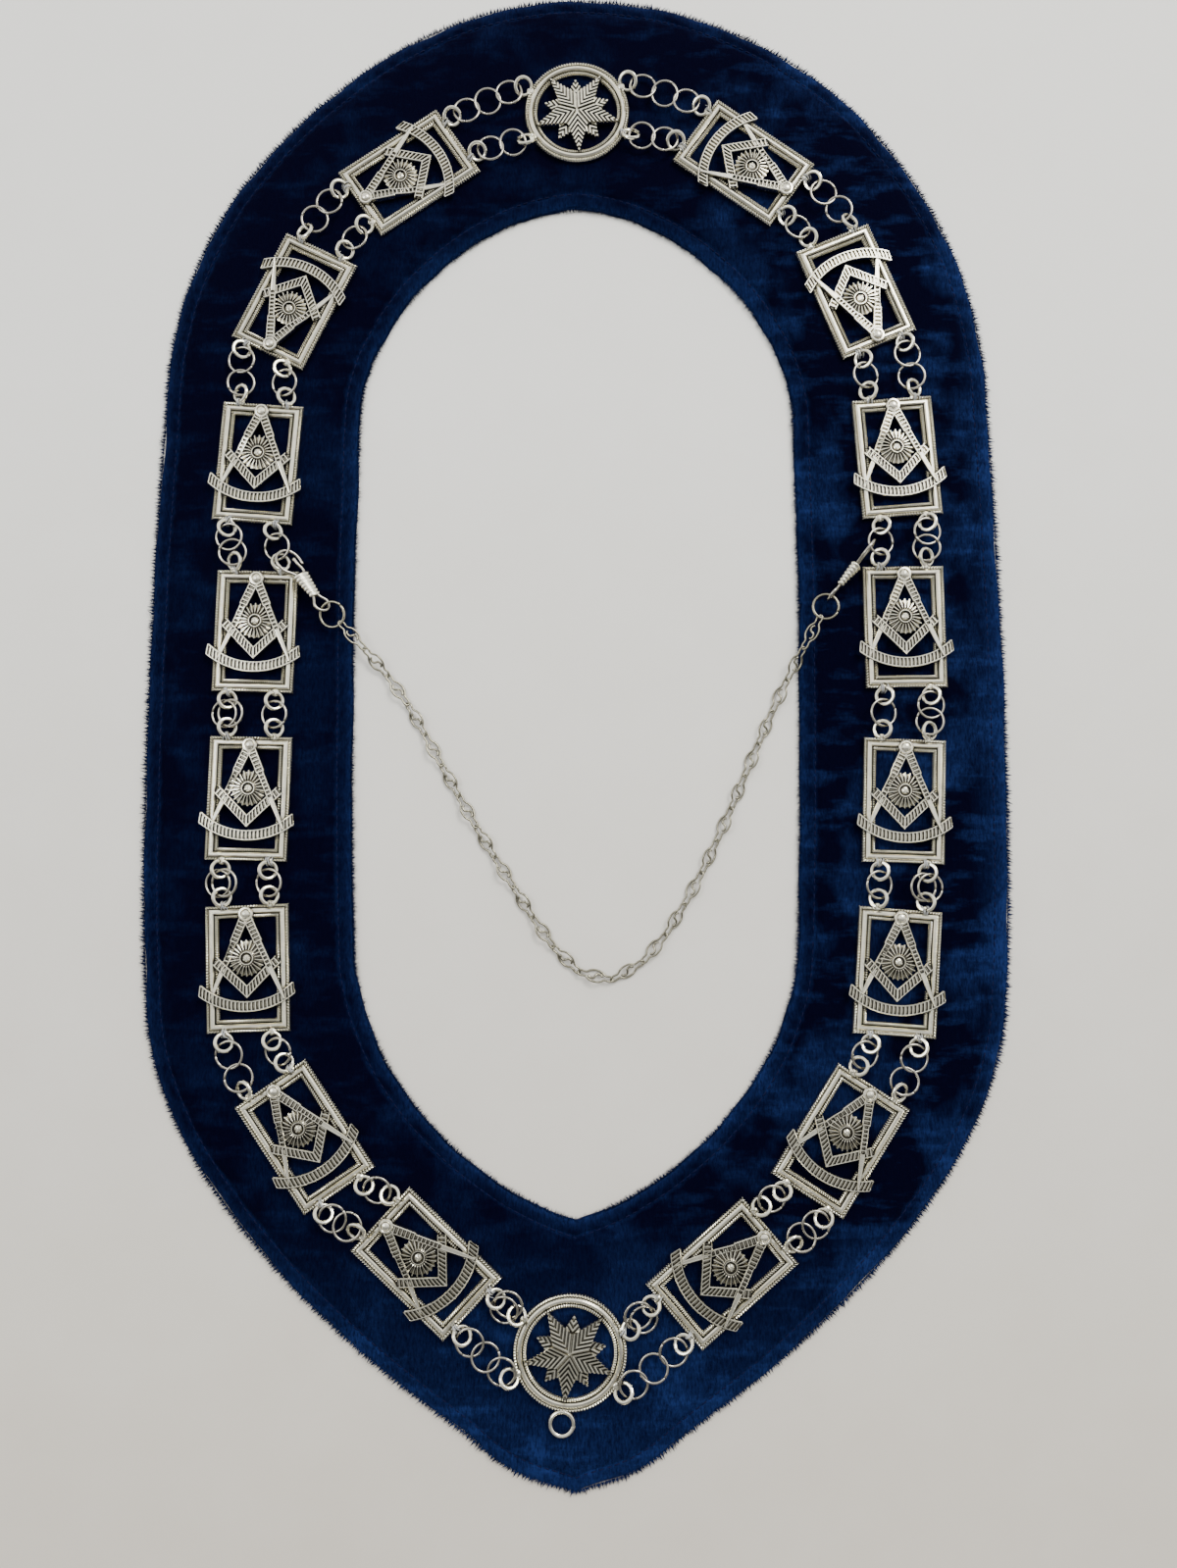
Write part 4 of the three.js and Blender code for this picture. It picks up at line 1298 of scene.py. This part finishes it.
def clasp_sleeve(side, matrix, material):
    """A flattened cone with ribs pressed round it."""
    half = SLEEVE_LENGTH / 2
    steps = SLEEVE_RIBS * SLEEVE_STEPS_PER_RIB
    profile = []
    for k in range(steps + 1):
        share = k / steps
        sunk = SLEEVE_RIB_DEPTH * groove(share * SLEEVE_RIBS)
        profile.append((blend(-half, half, share), blend(SLEEVE_WIDE, SLEEVE_NARROW, share) / 2 - sunk))
    profile.append((half, SLEEVE_NARROW / 2 - SLEEVE_WALL))
    profile.append((-half, SLEEVE_WIDE / 2 - SLEEVE_WALL))
    flatness = CLASP_PLACES[side]["flatness"]
    stations = []
    for k in range(SLEEVE_SIDES):
        angle = math.tau * k / SLEEVE_SIDES
        points = [Vector((x, r * math.cos(angle), r * math.sin(angle) * flatness)) for x, r in profile]
        stations.append([tuple(point) for point in turned(points, matrix)])
    body = Body()
    loft(body, stations, closed=True)
    return piece(f"clasp_cone_{side}", body, material, [f"clasp_sleeve_{side}"])


def chain_end(matrix, route_end, roll):
    """Place of the ring between a clasp's eye and the chain, and where the chain starts."""
    eye = matrix @ Vector((CLASP_EYE[0] * CLASP_LENGTH, CLASP_EYE[1] * CLASP_LENGTH, 0))
    heading = math.atan2(route_end[1] - eye.y, route_end[0] - eye.x)
    step = Vector((*polar(1, heading), 0))
    centre = eye + step * CHAIN_END_REACH
    return (*centre, heading, roll), centre + step * CHAIN_END_RADIUS


def link_outline(length):
    """Closed outline of a scroll link: narrow loops at both ends and a round middle."""
    half = length / 2
    quarter = [*LINK_QUARTER, *[(half - back, y) for back, y in LINK_LOOP]]
    right = [*quarter, *[(x, -y) for x, y in reversed(quarter[:-1])]]
    left = [(-x, -y) for x, y in right[1:-1]]
    return [*right, *left]


def scroll_link(body, matrix, length):
    """A link's closed outline with an S-shaped scroll in its middle."""
    outline = [Vector((x, y, 0)) for x, y in link_outline(length)]
    smooth = spline([*outline, outline[0]], LINK_STEPS)[:-1]
    wire(body, turned(smooth, matrix), CHAIN_WIRE / 2, CHAIN_SIDES, closed=True)
    scroll = [*HALF_SCROLL, (0, 0, SCROLL_RISE), *[(-x, -y, z) for x, y, z in reversed(HALF_SCROLL)]]
    wire(body, turned(spline(scroll, SCROLL_STEPS), matrix), CHAIN_WIRE * SCROLL_SHARE, CHAIN_SIDES)


def loose_chain(matrices, material):
    """Scroll links, loop through loop, between two end rings."""
    ends = [chain_end(matrices[side], route, CLASP_PLACES[side]["chain_roll"])
            for side, route in (("left", CHAIN_ROUTE[0]), ("right", CHAIN_ROUTE[-1]))]
    body = Body()
    for place, _ in ends:
        path = flat_arc(CHAIN_END_RADIUS, CHAIN_END_CUT, CHAIN_END_SWEEP, RING_STEPS)
        wire(body, turned(path, lay_matrix(place)), RING_WIRE / 2, 8)
    line = spline([ends[0][1], *CHAIN_ROUTE, ends[1][1]], CHAIN_ROUTE_STEPS)
    lengths = running_lengths(line)
    whole = lengths[-1] + 2 * CHAIN_OVERLAP
    count = round(whole / CHAIN_PITCH)
    pitch = whole / count
    for k in range(count):
        first = at_length(line, lengths, pitch * k - CHAIN_OVERLAP)
        second = at_length(line, lengths, pitch * (k + 1) - CHAIN_OVERLAP)
        lay_link(body, first, second, CHAIN_ROLL if k % 2 else -CHAIN_ROLL)
    return piece("scroll_chain", body, material, ["centre_chain"])


def lay_link(body, first, second, roll):
    """A link between two points, rolled about the line between them."""
    along = second - first
    turn = along.to_track_quat("X", "Z").to_matrix().to_4x4()
    rolled = turn @ Matrix.Rotation(math.radians(roll), 4, "X")
    matrix = Matrix.Translation((first + second) / 2) @ rolled
    scroll_link(body, matrix, along.length + CHAIN_WIRE + LINK_GAP)


def thread_tacks(casts, material):
    """Pale thread that sews the eyes down to the velvet, with a few loose ends."""
    body = Body()
    chance = random.Random(SEED)
    for cast in casts.values():
        for eye in cast.eyes:
            if chance.random() < UNSEWN_SHARE:
                continue
            foot = Vector(eye["at"]) + Vector(polar(EYE_RADIUS, eye["inward"]))
            for _ in range(TACKS_PER_EYE):
                tack_loop(body, cast.matrix(), foot, chance)
            loose_end(body, cast.matrix(), foot, chance)
    return piece("thread_tacks", body, material)


def tack_loop(body, matrix, foot, chance):
    """One turn of thread over an eye's foot."""
    shift = chance.uniform(-TACK_SHIFT, TACK_SHIFT)
    lean = chance.uniform(-TACK_LEAN, TACK_LEAN)
    points = [Vector((foot.x + shift + across * lean, foot.y + across, z)) for across, z in TACK_ARCH]
    wire(body, spline(turned(points, matrix), 12), TACK_RADIUS, 5)


def loose_end(body, matrix, foot, chance):
    """A cut end of thread that curls over the metal."""
    angle = chance.uniform(0, math.tau)
    reach = chance.uniform(*LOOSE_REACH)
    points = []
    for share, z in LOOSE_ROUTE:
        x, y = polar(reach * share, angle + LOOSE_BEND * math.sin(share * 4 + angle))
        points.append(Vector((foot.x + x, foot.y + y, z)))
    wire(body, spline(turned(points, matrix), 10), LOOSE_RADIUS, 5)


# Scene

def area_light(name, place, size, power, colour):
    """A round soft light that points at the collar's middle."""
    data = bpy.data.lights.new(name, "AREA")
    data.shape = "DISK"
    data.size = size
    data.energy = power
    data.color = colour
    light = bpy.data.objects.new(name, data)
    light.location = place
    light.rotation_euler = (-Vector(place)).to_track_quat("-Z", "Y").to_euler()
    bpy.context.scene.collection.objects.link(light)


def surroundings():
    world = bpy.data.worlds.new("soft_room")
    graph = Shading(world, "Generated")
    back = graph.nodes["Background"]
    graph.feed(back.inputs["Color"], ROOM_COLOUR)
    graph.feed(back.inputs["Strength"], graph.ranged(graph.split()["Y"], *ROOM_SPAN))
    bpy.context.scene.world = world
    for name, light in LIGHTS.items():
        area_light(name, **light)


def pale_floor():
    mesh = bpy.data.meshes.new("floor")
    corners = [(-1, -1), (1, -1), (1, 1), (-1, 1)]
    mesh.from_pydata([(x * FLOOR_HALF, y * FLOOR_HALF, 0) for x, y in corners], [], [(0, 1, 2, 3)])
    mesh.materials.append(floor_material())
    floor = bpy.data.objects.new("floor", mesh)
    floor.location.z = -FLOOR_DROP
    bpy.context.scene.collection.objects.link(floor)


def camera():
    data = bpy.data.cameras.new("camera")
    data.lens = LENS
    made = bpy.data.objects.new("camera", data)
    made.location = [value * MM for value in CAMERA_PLACE]
    made.rotation_euler = (math.radians(CAMERA_TILT), 0, 0)
    bpy.context.scene.collection.objects.link(made)
    bpy.context.scene.camera = made


def dress_velvet():
    """The padded band with its pile and stitches."""
    velvet = velvet_material()
    pairs = band_pairs()
    band = velvet_band(pairs, velvet)
    edge_pile(pairs, velvet)
    seam_stitches(pairs, thread_material("navy_thread"))


def dress_casts(casts, metal):
    """The plates and medallions with their eyes."""
    plate = plate_body()
    medallion = medallion_body()
    for name, cast in casts.items():
        body = Body()
        body.add_body(medallion if cast.medallion else plate, cast.matrix())
        eyes = Body()
        for eye in cast.eyes:
            cast_eye(eyes, *eye["at"], eye["inward"], *eye["lie"])
        if name == "bottom_medallion":
            jewel_eye(eyes)
        body.add_body(eyes, cast.matrix())
        piece(f"{name}_cast", body, metal, [name], smooth=False)


def jewel_eye(body):
    path = flat_arc(JEWEL_EYE_RADIUS, 0, 360, JEWEL_EYE_STEPS)[:-1]
    place = Matrix.Translation((0, -MEDALLION_RADIUS - JEWEL_EYE_RADIUS, JEWEL_EYE_HEIGHT))
    wire(body, turned(path, place), JEWEL_EYE_WIRE / 2, 12, closed=True)


def dress():
    dress_velvet()
    metal = metal_material("silver_plating")
    ring_metal = metal_material("ring_plating")
    casts = {name: Cast(name) for name in CAST_PLACES}
    strings = {**side_strings("left", casts), **side_strings("right", casts)}
    dress_casts(casts, metal)
    for name, rings in strings.items():
        ring_string(name, rings, ring_metal)
    matrices = {side: clasp_matrix(side, strings) for side in CLASP_PLACES}
    for side, matrix in matrices.items():
        clasp_wire(side, matrix, ring_metal)
        clasp_sleeve(side, matrix, metal)
    loose_chain(matrices, metal_material("chain_plating"))
    thread_tacks(casts, thread_material("pale_thread"))


camera()
surroundings()
pale_floor()
dress()
